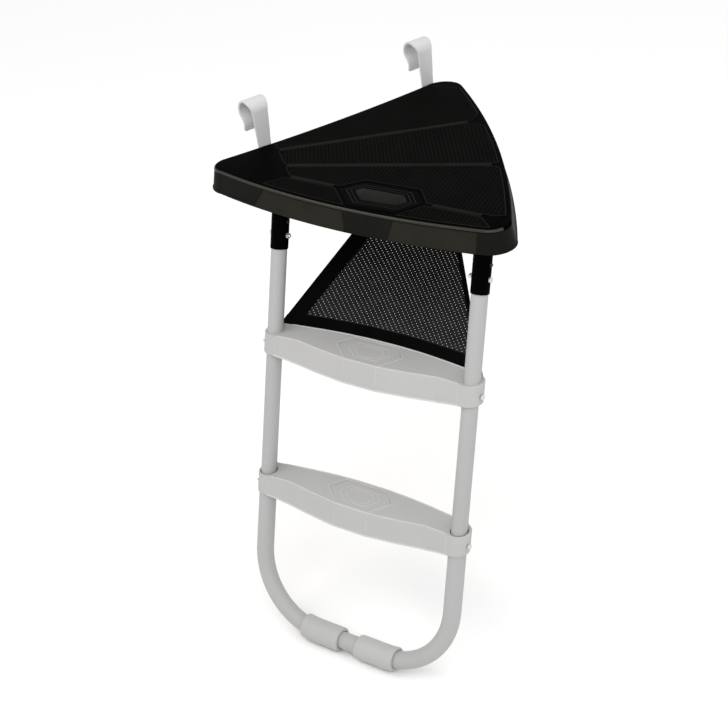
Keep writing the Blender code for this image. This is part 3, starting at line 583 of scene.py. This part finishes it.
def front_times(foot=0.0):
    """Places along the front edge, with a close pair at each skirt seam; foot slants the seams."""
    left, right, _ = deck_corners()
    span = right[0].x - left[-1].x
    tops = [(x - left[-1].x) / span for x in SEAMS_TOP]
    feet = [(x - left[-1].x) / span for x in SEAMS_FOOT]
    half = SEAM_HALF / span
    even = [i / FRONT_STEPS for i in range(1, FRONT_STEPS)]
    times = [t for t in even if all(abs(t - seam) > SEAM_CLEAR for seam in tops)]
    for seam in tops:
        times += [seam - half, seam + half]
    times.sort()
    knots = [0.0] + tops + [1.0]
    moved = [0.0] + [a + (b - a) * foot for a, b in zip(tops, feet)] + [1.0]
    result = []
    for t in times:
        k = max(i for i in range(len(knots) - 1) if t >= knots[i])
        share = (t - knots[k]) / (knots[k + 1] - knots[k])
        result.append(moved[k] + (moved[k + 1] - moved[k]) * share)
    panels = [1.0 if tops[0] < t < tops[1] or t > tops[2] else 0.0 for t in times]
    return result, panels


def deck_outline(foot=0.0):
    """Plan of the top edge, and for each point whether it belongs to a raised-back skirt panel."""
    left, right, top = deck_corners(3)
    times, panels = front_times(foot)
    outline = left + bowed(left[-1], right[0], FRONT_BOW, times) + right
    flags = [0.0] * len(left) + panels + [0.0] * len(right)
    even = [i / SIDE_STEPS for i in range(1, SIDE_STEPS)]
    side = bowed(right[-1], top[0], SIDE_BOW, even)
    rear = bowed(top[-1], left[0], -REAR_HOLLOW, even)
    outline += side + top + rear
    flags += [0.0] * (len(side) + len(top) + len(rear))
    return outline, flags


def rear_edge(t, inset=0.0):
    left, _, top = deck_corners()
    way = left[0] - top[-1]
    inwards = Vector((-way.y, way.x)).normalized()
    return top[-1] + way * t + inwards * (REAR_HOLLOW * 4.0 * t * (1.0 - t) + inset)


HOOK_PLAN = [rear_edge(t) for t in HOOK_PLACES]
RAIL_DIR = (HOOK_PLAN[1] - HOOK_PLAN[0]).normalized()
RAIL_3D = Vector((RAIL_DIR.x, RAIL_DIR.y, 0.0))
OUT_3D = Vector((-RAIL_DIR.y, RAIL_DIR.x, 0.0))


def skirt_ring(drop, outset, panel=0.0):
    outline, flags = deck_outline(max(0.0, (drop - DECK_EDGE_R) / (DECK_DEPTH - DECK_EDGE_R)))
    normals = offset_outline(outline, 1.0)
    ring = []
    for p, n, flag in zip(outline, normals, flags):
        ring.append(deck_point(p + (n - p) * (outset - panel * flag), drop))
    return ring


rings = []
for k in range(8):
    a = math.radians(90.0 * k / 7)
    rings.append(skirt_ring(DECK_EDGE_R * (1.0 - math.cos(a)), -DECK_EDGE_R * (1.0 - math.sin(a))))
for drop, panel in ((0.0065, 0.0), (0.0085, 1.0), (0.016, 0.85), (0.024, 0.68), (0.032, 0.5), (0.0395, 0.35),
                    (0.0412, 0.0)):
    flare = DECK_FLARE * (drop - DECK_EDGE_R) / (DECK_DEPTH - DECK_EDGE_R)
    rings.append(skirt_ring(drop, flare - 0.0006, panel * PANEL_STEP))
for drop, outset in ((0.0416, 0.0075), (0.0422, 0.0082), (0.0448, 0.0084), (0.0456, 0.0080), (0.046, 0.0072),
                     (0.046, 0.0050), (0.030, 0.0015), (0.0085, -DECK_WALL), (0.0060, -DECK_WALL - 0.0012),
                     (0.0035, -DECK_WALL - 0.0040)):
    rings.append(skirt_ring(drop, outset))
shell = Shape()
shell.loft(rings)
outline, flags = deck_outline()
row_length = len(outline)
for number in range(len(rings) - 1):
    for j, (p, flag) in enumerate(zip(outline, flags)):
        q = outline[(j + 1) % row_length]
        faces_front = (q.x - p.x) > 0.35 * (q - p).length and p.y < 0.12
        look = 0
        # The front faces of the rounded top edge take the painted-highlight colour; the side and rear edges
        # stay black.
        if faces_front and 2 <= number < 7:
            look = 3
        # Raised skirt panels take the lighter painted-light colour, the rest of the skirt the plain skirt
        # colour.
        elif number >= 8 and number < 17:
            look = 2 if flag and flags[(j + 1) % row_length] else 1
        shell.looks[number * row_length + j] = look
deck = piece("platform_moulding", shell, [DECK, DECK_SKIRT, DECK_PANEL_LIT, DECK_EDGE_HIGHLIGHT],
             ("platform_shell",), angle=32.0)

for side in (-1.0, 1.0):
    relief = Shape()
    centre = on_ladder(side * HALF_WIDTH, UPRIGHT_TOP_S)
    relief.loft([circle(centre + ALONG * d, ALONG, SLEEVE_TUBE_R + 0.001, 32) for d in (-0.024, 0.024)])
    cut(deck, relief, 32.0)
for centre in HOOK_PLAN:
    notch = Shape()
    face = HOOK_N - HOOK_THICK / 2.0 - 0.0003
    half = HOOK_STEM_WIDTH / 2.0 + 0.002
    corners = ((-half, face), (half, face), (half, 0.04), (-half, 0.04))
    base = deck_point(centre, 0.0)
    notch.loft([[base + RAIL_3D * a + OUT_3D * n - Z_AXIS * d for a, n in corners]
                for d in (DECK_EDGE_R + 0.001, DECK_DEPTH + 0.01)])
    cut(deck, notch, 32.0)


def clip(polygon, a, b):
    """Keep the part of a plan polygon on the left of the way from a to b."""
    a, b = Vector(a), Vector(b)
    way = b - a
    kept = []

    def height(p):
        return way.x * (p.y - a.y) - way.y * (p.x - a.x)

    for i, p in enumerate(polygon):
        q = polygon[(i + 1) % len(polygon)]
        if height(p) >= 0.0:
            kept.append(p)
        if (height(p) >= 0.0) != (height(q) >= 0.0):
            kept.append(p.lerp(q, height(p) / (height(p) - height(q))))
    return kept


def tidy(polygon, least=0.0015):
    """Drop points that stand closer together than the least distance."""
    kept = []
    for p in polygon:
        if not kept or (p - kept[-1]).length > least:
            kept.append(p)
    while (kept[0] - kept[-1]).length < least:
        kept.pop()
    return kept


def spans(polygon, across, level_at):
    """Where the line at a given height across the ribs passes through a polygon."""
    along = Vector((across.y, -across.x))
    hits = []
    for i, p in enumerate(polygon):
        q = polygon[(i + 1) % len(polygon)]
        a, b = p.dot(across) - level_at, q.dot(across) - level_at
        if (a > 0.0) != (b > 0.0):
            hits.append(p.lerp(q, a / (a - b)).dot(along))
    hits.sort()
    return [(hits[i], hits[i + 1]) for i in range(0, len(hits) - 1, 2)]


RIB_END_SLOPE = 0.0004


def ribs(shape, zone, angle, pitch, width, floor, top):
    """Straight ribs across a zone, each ending square to the zone's own edge."""
    along = Vector((math.cos(math.radians(angle)), math.sin(math.radians(angle))))
    across = Vector((-along.y, along.x))
    reach = [p.dot(across) for p in zone]
    at = min(reach) + pitch * 0.6
    profile = ((-0.5, 0.0), (-0.26, 1.0), (0.26, 1.0), (0.5, 0.0))
    while at < max(reach) - pitch * 0.4:
        found = [spans(zone, across, at + width * o) for o, h in profile]
        if len({len(f) for f in found}) == 1:
            for number in range(len(found[0])):
                lows = [f[number][0] for f in found]
                highs = [f[number][1] for f in found]
                if min(highs) - max(lows) > 3.0 * width:
                    ends = []
                    for places, hand in ((lows, 1.0), (highs, -1.0)):
                        ring = []
                        for (o, h), place in zip(profile, places):
                            plan = across * (at + width * o) + along * (place + hand * RIB_END_SLOPE * h)
                            ring.append(deck_point(plan, -(floor + (top - floor) * h)))
                        ends.append(ring)
                    shape.loft(ends)
        at += pitch


def pad(name, zone, angle, pitch, width, rib_top=0.0013):
    """Raised pad with a smooth rounded rim and a ribbed field inside."""
    zone = tidy(zone)
    shape = Shape()
    rows = ((0.0, -0.0006), (0.0, 0.0007), (0.0004, 0.0013), (0.0011, 0.0016), (0.0019, 0.0014),
            (0.0025, 0.0007))
    shape.loft([[deck_point(p, -rise) for p in offset_outline(zone, -inset)] for inset, rise in rows])
    # The floor between the ribs takes the painted-shade colour.
    shape.looks[-1] = 2
    shape.look = 1
    ribs(shape, tidy(offset_outline(zone, -0.0034)), angle, pitch, width, 0.0005, rib_top)
    return piece(name, shape, [DECK_RIM_HIGHLIGHT, DECK_PAD, DECK_GROOVE_SHADE], angle=25.0)


inset_outline = offset_outline(deck_outline()[0], -0.0095)
LINE_1 = ((-0.338, 0.127), (-0.045, 0.397))
LINE_2 = ((-0.277, 0.070), (0.111, 0.228))
LEFT_LINE = ((-0.238, 0.028), (-0.365, 0.148))
CHANNEL = 0.0058


def beside(line, shift):
    """A line moved to its left by a distance."""
    a, b = Vector(line[0]), Vector(line[1])
    way = (b - a).normalized()
    left = Vector((-way.y, way.x)) * shift
    return a + left, b + left


def flipped(line):
    return line[1], line[0]


right_of_left = beside(flipped(LEFT_LINE), CHANNEL)
zone_a = clip(inset_outline, *beside(LINE_1, CHANNEL))
zone_a = clip(zone_a, *right_of_left)
zone_a = clip(zone_a, (-0.045, 0.397), (-0.054, 0.452))
zone_a = clip(zone_a, (-0.148, 0.556), (-0.260, 0.536))
zone_b = clip(inset_outline, *beside(flipped(LINE_1), CHANNEL))
zone_b = clip(zone_b, *beside(LINE_2, CHANNEL))
zone_b = clip(zone_b, *right_of_left)
zone_b = clip(zone_b, (0.002, 0.386), (-0.045, 0.397))
zone_b = clip(zone_b, (0.111, 0.228), (0.116, 0.251))
STRIP = ((-0.238, 0.030), (0.211, 0.025))
HEX = [Vector(p) for p in ((-0.114, 0.022), (-0.081, 0.070), (0.039, 0.074), (0.085, 0.026), (0.056, -0.030),
                           (-0.052, -0.036))]
zone_c = clip(inset_outline, *beside(flipped(LINE_2), CHANNEL))
zone_c = clip(zone_c, *right_of_left)
zone_c = clip(zone_c, *beside(STRIP, CHANNEL))
zone_c = clip(zone_c, (0.148, 0.207), (0.111, 0.228))
zone_c = clip(zone_c, (0.213, 0.022), (0.2475, 0.044))


def splice(polygon, points):
    """Put points into the polygon's edge that passes closest below their middle."""
    middle = sum(points, Vector((0.0, 0.0))) / len(points)
    best = None
    for i, p in enumerate(polygon):
        q = polygon[(i + 1) % len(polygon)]
        if (p.x - middle.x) * (q.x - middle.x) < 0.0:
            y = p.y + (q.y - p.y) * (middle.x - p.x) / (q.x - p.x)
            if best is None or y < best[0]:
                best = (y, i, p.x < q.x)
    at = best[1] + 1
    return polygon[:at] + (points if best[2] else points[::-1]) + polygon[at:]


hump = [Vector(p) for p in ((-0.1135, 0.0315), (-0.0825, 0.0725), (0.0400, 0.0765), (0.0845, 0.0290))]
zone_c = splice(zone_c, hump)
zone_d = clip(inset_outline, *beside(flipped(STRIP), CHANNEL))
zone_dl = clip(zone_d, (-0.2375, 0.028), (-0.2600, -0.007))
zone_dl = clip(zone_dl, (-0.054, -0.038), (-0.117, 0.022))
zone_dr = clip(zone_d, (0.088, 0.026), (0.059, -0.030))
zone_dr = clip(zone_dr, (0.236, -0.005), (0.211, 0.016))
pad("platform_pad_rear", zone_a, 149.0, 0.0036, 0.0024, 0.0010)
pad("platform_pad_middle", zone_b, 127.0, 0.0076, 0.0050)
pad("platform_pad_front", zone_c, 103.0, 0.0080, 0.0054)
pad("platform_pad_front_left", zone_dl, 104.0, 0.0080, 0.0054)
pad("platform_pad_front_right", zone_dr, 104.0, 0.0080, 0.0054)

bands = Shape()
for line in (LINE_1, LINE_2, ((-0.236, 0.030), (-0.120, 0.0300)), ((0.092, 0.0275), (0.209, 0.0250))):
    a, b = Vector(line[0]), Vector(line[1])
    way = (b - a).normalized()
    left = Vector((-way.y, way.x))
    a += way * 0.006
    b -= way * 0.006
    rows = ((0.0050, -0.0006), (0.0050, 0.0008), (0.0044, 0.0013), (0.0030, 0.0015))
    rings = []
    for half, rise in rows:
        ends = 0.0050 - half
        corners = (a + way * ends - left * half, b - way * ends - left * half,
                   b - way * ends + left * half, a + way * ends + left * half)
        rings.append([deck_point(p, -rise) for p in corners])
    bands.loft(rings)
# The raised bands take the painted-highlight rim colour.
piece("platform_bands", bands, DECK_RIM_HIGHLIGHT, angle=25.0)



def inward(points, distance):
    """The same six-sided plan, moved in on every side; its corners are listed clockwise."""
    return offset_outline(points[::-1], -distance)[::-1]


def hex_rings(points, inset, rows):
    return [[deck_point(p, -rise) for p in inward(points, inset + d)] for d, rise in rows]


badge = Shape()
badge.loft(hex_rings(HEX, 0.0035, ((0.0, -0.0010), (0.0, 0.0003), (0.0005, 0.0007))))
badge.look = 1
for inset in (0.0150, 0.0225):
    rows = ((0.0, 0.0004), (0.0003, 0.0013), (0.0009, 0.0016), (0.0017, 0.0016), (0.0023, 0.0013),
            (0.0026, 0.0004))
    badge.loft(hex_rings(HEX, inset, rows), closed_loop=True)
badge.loft(hex_rings(HEX, 0.0305, ((0.0, 0.0004), (0.0004, 0.0013), (0.0012, 0.0016))))
piece("platform_emblem", badge, [DECK_BADGE, EMBLEM], ("platform_badge",), angle=25.0)

# Section of a rib under the deck: how far to its side, and how far down
UNDER_RIB = ((0.0013, 0.003), (0.0009, 0.0165), (-0.0009, 0.0165), (-0.0013, 0.003))
UNDER_RIB_PITCH = 0.062
under = Shape()
inner_edge = offset_outline(deck_outline()[0], -0.0045)
for angle in (0.0, 90.0):
    along = Vector((math.cos(math.radians(angle)), math.sin(math.radians(angle))))
    normal = Vector((-along.y, along.x))
    reach = [p.dot(normal) for p in inner_edge]
    at = min(reach) + 0.05
    while at < max(reach) - 0.03:
        for low, high in spans(inner_edge, normal, at):
            ends = [normal * at + along * place for place in (low, high)]
            under.loft([[deck_point(middle + normal * w, d) for w, d in UNDER_RIB] for middle in ends])
        at += UNDER_RIB_PITCH
piece("platform_stiffening_ribs", under, DECK)
posts = Shape()
for number in range(1, 7):
    low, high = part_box("platform_screw_%d" % number)
    centre = (low + high) / 2.0
    centre.z = 0.0
    steps = ((0.0025, 0.0085), (0.0060, 0.0058), (BAR_TOP - 0.0003, 0.0055))
    heights = [(BASE.z + DECK_Z - d, r) for d, r in steps]
    posts.loft([circle(centre + Z_AXIS * z, Z_AXIS, r, 28) for z, r in heights])
piece("platform_screw_posts", posts, DECK)


# Rail hooks

# The four corners of a rounded bar's section: its two sides and the angle where the corner's arc starts
CORNERS = ((1.0, 1.0, 0.0), (-1.0, 1.0, 90.0), (-1.0, -1.0, 180.0), (1.0, -1.0, 270.0))


def hook_stations():
    """Places along a hook from its foot to the claw's tip: outwards, upwards and the width there."""
    stations = [(HOOK_N, -HOOK_FOOT_DROP, HOOK_STEM_WIDTH - 0.006)]
    stations += [(HOOK_N, -HOOK_FOOT_DROP + 0.0015, HOOK_STEM_WIDTH - 0.002)]
    stations += [(HOOK_N, -HOOK_FOOT_DROP + 0.005, HOOK_STEM_WIDTH), (HOOK_N, -0.060, HOOK_STEM_WIDTH)]
    stations += [(HOOK_N, -0.002, HOOK_STEM_WIDTH), (HOOK_N, 0.016, HOOK_STEM_WIDTH + 0.001)]
    stations += [(HOOK_N, 0.030, HOOK_STEM_WIDTH + 0.003), (HOOK_N, 0.052, HOOK_STEM_WIDTH + 0.0048)]
    steps = 48
    for i in range(steps + 1):
        a = math.radians(180.0 - 228.0 * i / steps)
        share = min(1.0, 0.35 + 0.2 * 12.0 * i / steps)
        width = HOOK_STEM_WIDTH + (HOOK_CLAW_WIDTH - HOOK_STEM_WIDTH) * share
        stations.append((RAIL_N + CLAW_R * math.cos(a), RAIL_RISE + CLAW_R * math.sin(a), width))
    tip = [(0.0371, 0.0515, 0.047), (0.0355, 0.0480, 0.047), (0.0344, 0.0445, 0.047),
           (0.0338, 0.0410, 0.047), (0.0341, 0.0375, 0.0468), (0.0352, 0.0340, 0.0462),
           (0.0370, 0.0305, 0.0452), (0.0385, 0.0282, 0.0430), (0.0392, 0.0270, 0.0390)]
    return stations + tip


def hook_piece(name, centre, node):
    stations = hook_stations()
    rings = []
    soft = 0.0011
    for i, (n, z, width) in enumerate(stations):
        ahead = stations[min(i + 1, len(stations) - 1)]
        behind = stations[max(i - 1, 0)]
        way = Vector((ahead[0] - behind[0], ahead[1] - behind[1])).normalized()
        normal = OUT_3D * way.y - Z_AXIS * way.x
        middle = deck_point(centre, 0.0) + OUT_3D * n + Z_AXIS * z
        ring = []
        for sx, sy, start in CORNERS:
            for k in range(4):
                a = math.radians(start + 30.0 * k)
                along = sx * (width / 2.0 - soft) + soft * math.cos(a)
                skin = sy * (HOOK_THICK / 2.0 - soft) + soft * math.sin(a)
                ring.append(middle + RAIL_3D * along + normal * skin)
        rings.append(ring)
    shape = Shape()
    shape.loft(rings)
    return piece(name, shape, HOOK_PAINT_LIT, (node,), angle=40.0)


hook_piece("left_rail_hook", HOOK_PLAN[0], "left_hook")
hook_piece("right_rail_hook", HOOK_PLAN[1], "right_hook")


# Net

def net_foot(x):
    rear = tread_span(x)[1]
    return tread_point(UPPER_TREAD_S, (x, rear + NET_CLEAR), NET_TOP_DROP)


stem = deck_point(HOOK_PLAN[1], HOOK_FOOT_DROP - 0.012)
APEX_LEFT = stem - RAIL_3D * 0.0165 - OUT_3D * NET_APEX_INSET
APEX_RIGHT = stem + RAIL_3D * 0.012 - OUT_3D * NET_APEX_INSET
NET_HEIGHT = (APEX_LEFT.lerp(APEX_RIGHT, 0.5) - net_foot(0.0)).length


def net_point(u, v, lift=0.0):
    """Point on the stretched net's middle surface: u across, v from its lower edge up to its top corner."""
    foot = net_foot(NET_LEFT_X + (NET_RIGHT_X - NET_LEFT_X) * u)
    head = APEX_LEFT.lerp(APEX_RIGHT, u)
    sag = NET_SAG * 16.0 * v * (1.0 - v) * u * (1.0 - u)
    return foot.lerp(head, v) - Z_AXIS * sag + SHEET_NORMAL * (NET_THICK / 2.0 - lift)


def net_u(x, v):
    """The u of the point at x across on the net's row v."""
    left = NET_LEFT_X * (1.0 - v) + (APEX_LEFT.x - BASE.x) * v
    right = NET_RIGHT_X * (1.0 - v) + (APEX_RIGHT.x - BASE.x) * v
    return (x - left) / (right - left)


CELL = 0.0118
HOLE_R = 0.0007
CELLS_EACH_WAY = 40
FOOT_STEPS = 48


def weave_net():
    """Sheet of diamond cells with a hole through the middle of each."""
    shape = Shape()
    known = {}

    def corner(x, h):
        key = (round(x * 1e6), round(h * 1e6))
        if key not in known:
            v = h / NET_HEIGHT
            shape.verts.append(net_point(net_u(x, v), v))
            known[key] = len(shape.verts) - 1
        return known[key]

    row = 1
    while row * CELL / 2.0 < NET_HEIGHT - CELL / 2.0:
        h = row * CELL / 2.0
        for number in range(-CELLS_EACH_WAY, CELLS_EACH_WAY + 1):
            x = (number + 0.5 * (row % 2)) * CELL
            outer = []
            for k in range(8):
                reach = CELL / 2.0 if k % 2 == 0 else CELL / 4.0 * math.sqrt(2.0)
                a = math.pi * k / 4.0
                outer.append((x + reach * math.cos(a), h + reach * math.sin(a)))
            inside = [net_u(px, ph / NET_HEIGHT) for px, ph in outer]
            if min(inside) < 0.003 or max(inside) > 0.997:
                continue
            hole = []
            for k in range(8):
                a = math.pi * k / 4.0
                hole.append((x + HOLE_R * math.cos(a) * 1.15, h + HOLE_R * math.sin(a) * 0.9))
            ring = [corner(*p) for p in outer]
            inner = [corner(*p) for p in hole]
            for k in range(8):
                m = (k + 1) % 8
                shape.face(ring[k], ring[m], inner[m], inner[k])
        row += 1
    return shape


def loop_area(loop):
    """Area inside a nearly flat loop of points."""
    total = Vector((0.0, 0.0, 0.0))
    for p, q in zip(loop, loop[1:]):
        total += (p - loop[0]).cross(q - loop[0])
    return total.length / 2.0


net = piece("net_panel", weave_net(), NET_CLOTH, ("net",), angle=60.0)
TAPE = 0.037
net_width = NET_RIGHT_X - NET_LEFT_X
edge_run = abs(APEX_LEFT.x - BASE.x - NET_LEFT_X)
LEFT_REACH = TAPE * math.hypot(NET_HEIGHT, edge_run) / NET_HEIGHT
right_run = abs(NET_RIGHT_X - (APEX_RIGHT.x - BASE.x))
RIGHT_TAPE = 0.011
RIGHT_REACH = RIGHT_TAPE * math.hypot(NET_HEIGHT, right_run) / NET_HEIGHT


def tape_grid(shape, columns, rows, place, thick=0.0013):
    """Thin strip of webbing with rounded long edges over a grid of surface places."""
    front, back = [], []
    for j in range(rows + 1):
        line_f, line_b = [], []
        for i in range(columns + 1):
            a, b = i / columns, j / rows
            rim = 0.25 if i in (0, columns) else 1.0
            u, v = place(a, b)
            line_f.append(net_point(u, v, thick / 2.0 * rim))
            line_b.append(net_point(u, v, -thick / 2.0 * rim))
        front.append(line_f)
        back.append(line_b)
    shape.loft([f + b[::-1] for f, b in zip(front, back)])


def left_place(a, b):
    v = b
    left = NET_LEFT_X * (1.0 - v) + (APEX_LEFT.x - BASE.x) * v
    return min(1.0, net_u(left + LEFT_REACH * a, v)), v


def right_place(a, b):
    v = b
    right = NET_RIGHT_X * (1.0 - v) + (APEX_RIGHT.x - BASE.x) * v
    return max(0.0, net_u(right - RIGHT_REACH * a, v)), v


def foot_place(a, b):
    return b, TAPE / NET_HEIGHT * a


tape = Shape()
tape_grid(tape, 8, 30, left_place)
tape_grid(tape, 8, 30, right_place)
tape_grid(tape, 8, FOOT_STEPS, foot_place, 0.0016)
HEM_SECTION = ((-0.001, 0.0002), (0.002, 0.0), (NET_HEM, 0.0), (NET_HEM, NET_THICK), (0.002, NET_THICK),
               (-0.001, NET_THICK))
hem = []
for i in range(FOOT_STEPS + 1):
    x = NET_LEFT_X + net_width * i / FOOT_STEPS
    top = net_foot(x)
    ring = []
    for down, out in HEM_SECTION:
        ring.append(top - ALONG * down + HEM_NORMAL * out)
    hem.append(ring)
tape.loft(hem)
tape_piece = piece("net_border_tape", tape, WEBBING, angle=50.0)

stitches = Shape()


def stitch_line(place, count, lift):
    points = [net_point(*place(i / count), lift) for i in range(count + 1)]
    for i in range(0, count, 2):
        stitches.tube([points[i].lerp(points[i + 1], 0.1), points[i].lerp(points[i + 1], 0.9)], 0.00035, 6)


for lift in (0.0010, -0.0010):
    for reach in (0.12, 0.90):
        stitch_line(lambda t, r=reach: left_place(r, 0.02 + 0.86 * t), 190, lift)
        stitch_line(lambda t, r=reach: right_place(r, 0.02 + 0.86 * t), 160, lift)
        stitch_line(lambda t, r=reach: foot_place(r, 0.03 + 0.94 * t), 150, lift)
stitch_piece = piece("net_stitching", stitches, THREAD)

strap = Shape()
band = 0.0018
centre = deck_point(HOOK_PLAN[1], 0.0) + OUT_3D * HOOK_N
side_half = HOOK_STEM_WIDTH / 2.0 + 0.0003
outer_n = HOOK_THICK / 2.0 + 0.0003
inner_n = NET_APEX_INSET + HOOK_N - band - 0.0005


def strap_loop(drop, grow):
    """Rounded rectangle round the hook's stem, out to the net's top corner."""
    soft = 0.0018 + grow
    loop = []
    for sx, sy, start in CORNERS:
        cx = sx * (side_half + grow - soft)
        cy = outer_n + grow - soft if sy > 0.0 else -(inner_n + grow - soft)
        for k in range(5):
            a = math.radians(start + 22.5 * k)
            across_rail = OUT_3D * (cy + soft * math.sin(a))
            loop.append(centre - Z_AXIS * drop + RAIL_3D * (cx + soft * math.cos(a)) + across_rail)
    return loop


STRAP_SECTION = ((0.0925, band), (0.0920, band * 0.6), (0.0920, band * 0.3), (0.0925, 0.0),
                 (0.1115, 0.0), (0.1120, band * 0.3), (0.1120, band * 0.6), (0.1115, band))
strap.loft([strap_loop(drop, grow) for drop, grow in STRAP_SECTION], closed_loop=True)
strap_piece = piece("net_strap_loop", strap, WEBBING, ("net_strap",), angle=45.0)
sewn = Shape()
for drop in (0.0945, 0.1095):
    loop = strap_loop(drop, band + 0.0002)
    total = [loop[i].lerp(loop[(i + 1) % len(loop)], t) for i in range(len(loop)) for t in (0.0, 0.5)]
    for i in range(4, 10, 2):
        sewn.tube([total[i], total[i + 1]], 0.0003, 6)
    long_side = [loop[9].lerp(loop[10], t / 6.0) for t in range(7)]
    for i in range(0, 6, 2):
        sewn.tube([long_side[i], long_side[i + 1]], 0.0003, 6)
sewn_piece = piece("net_strap_stitching", sewn, THREAD)

# The cut's size comes from the panel's outline, not from the mesh
foot_line = [net_foot(NET_LEFT_X + net_width * i / FOOT_STEPS) for i in range(FOOT_STEPS + 1)]
cut_area = loop_area(foot_line + [APEX_RIGHT, APEX_LEFT])


# Stage, lights and camera

floor = Shape()
size = 30.0
for x, y in ((-size, -size), (size, -size), (size, size), (-size, size)):
    floor.verts.append(Vector((x, y, BASE.z)))
floor.face(0, 1, 2, 3)
floor_mesh = bpy.data.meshes.new("floor")
floor_mesh.from_pydata([tuple(v) for v in floor.verts], [], floor.faces)
floor_mesh.materials.append(FLOOR)
floor_piece = bpy.data.objects.new("floor", floor_mesh)
bpy.context.scene.collection.objects.link(floor_piece)

world = bpy.data.worlds.new("studio")
world.use_nodes = True
world.node_tree.nodes["Background"].inputs["Color"].default_value = (1.0, 1.0, 1.0, 1.0)
world.node_tree.nodes["Background"].inputs["Strength"].default_value = 0.95
bpy.context.scene.world = world

target = deck_point((-0.05, 0.10), 0.0)


def soft_light(name, direction, distance, width, height, power, aim, colour=(1.0, 1.0, 1.0)):
    data = bpy.data.lights.new(name, "AREA")
    data.shape = "RECTANGLE"
    data.size = width
    data.size_y = height
    data.energy = power
    lamp = bpy.data.objects.new(name, data)
    bpy.context.scene.collection.objects.link(lamp)
    data.color = colour
    lamp.location = aim + Vector(direction).normalized() * distance
    lamp.rotation_euler = (aim - lamp.location).to_track_quat("-Z", "Y").to_euler()


soft_light("edge_light", (-0.53, -0.49, 0.68), 2.8, 1.8, 0.5, 19.0, target, (1.0, 0.92, 0.82))
soft_light("front_light", (0.45, -0.80, 0.95), 3.4, 2.6, 2.4, 42.0, on_ladder(0.0, 0.45))
soft_light("right_light", (1.0, -0.25, 0.35), 3.0, 1.4, 1.8, 8.0, target)
sun_data = bpy.data.lights.new("key_light", "SUN")
sun_data.energy = 0.45
sun_data.angle = math.radians(38.0)
sun = bpy.data.objects.new("key_light", sun_data)
sun.rotation_euler = Vector((0.55, 0.40, 1.0)).to_track_quat("Z", "Y").to_euler()
bpy.context.scene.collection.objects.link(sun)

camera_data = bpy.data.cameras.new("camera")
camera_data.sensor_width = 36.0
camera_data.lens = 76.0
camera = bpy.data.objects.new("camera", camera_data)
camera.location = on_ladder(0.0, UPPER_TREAD_S) + Vector((1.54401, -1.99715, 1.45977))
camera.rotation_euler = Euler([math.radians(a) for a in (59.46604, 5.71718, 34.64022)], "XYZ")
bpy.context.scene.collection.objects.link(camera)
bpy.context.scene.camera = camera
bpy.context.scene.view_settings.view_transform = "Standard"
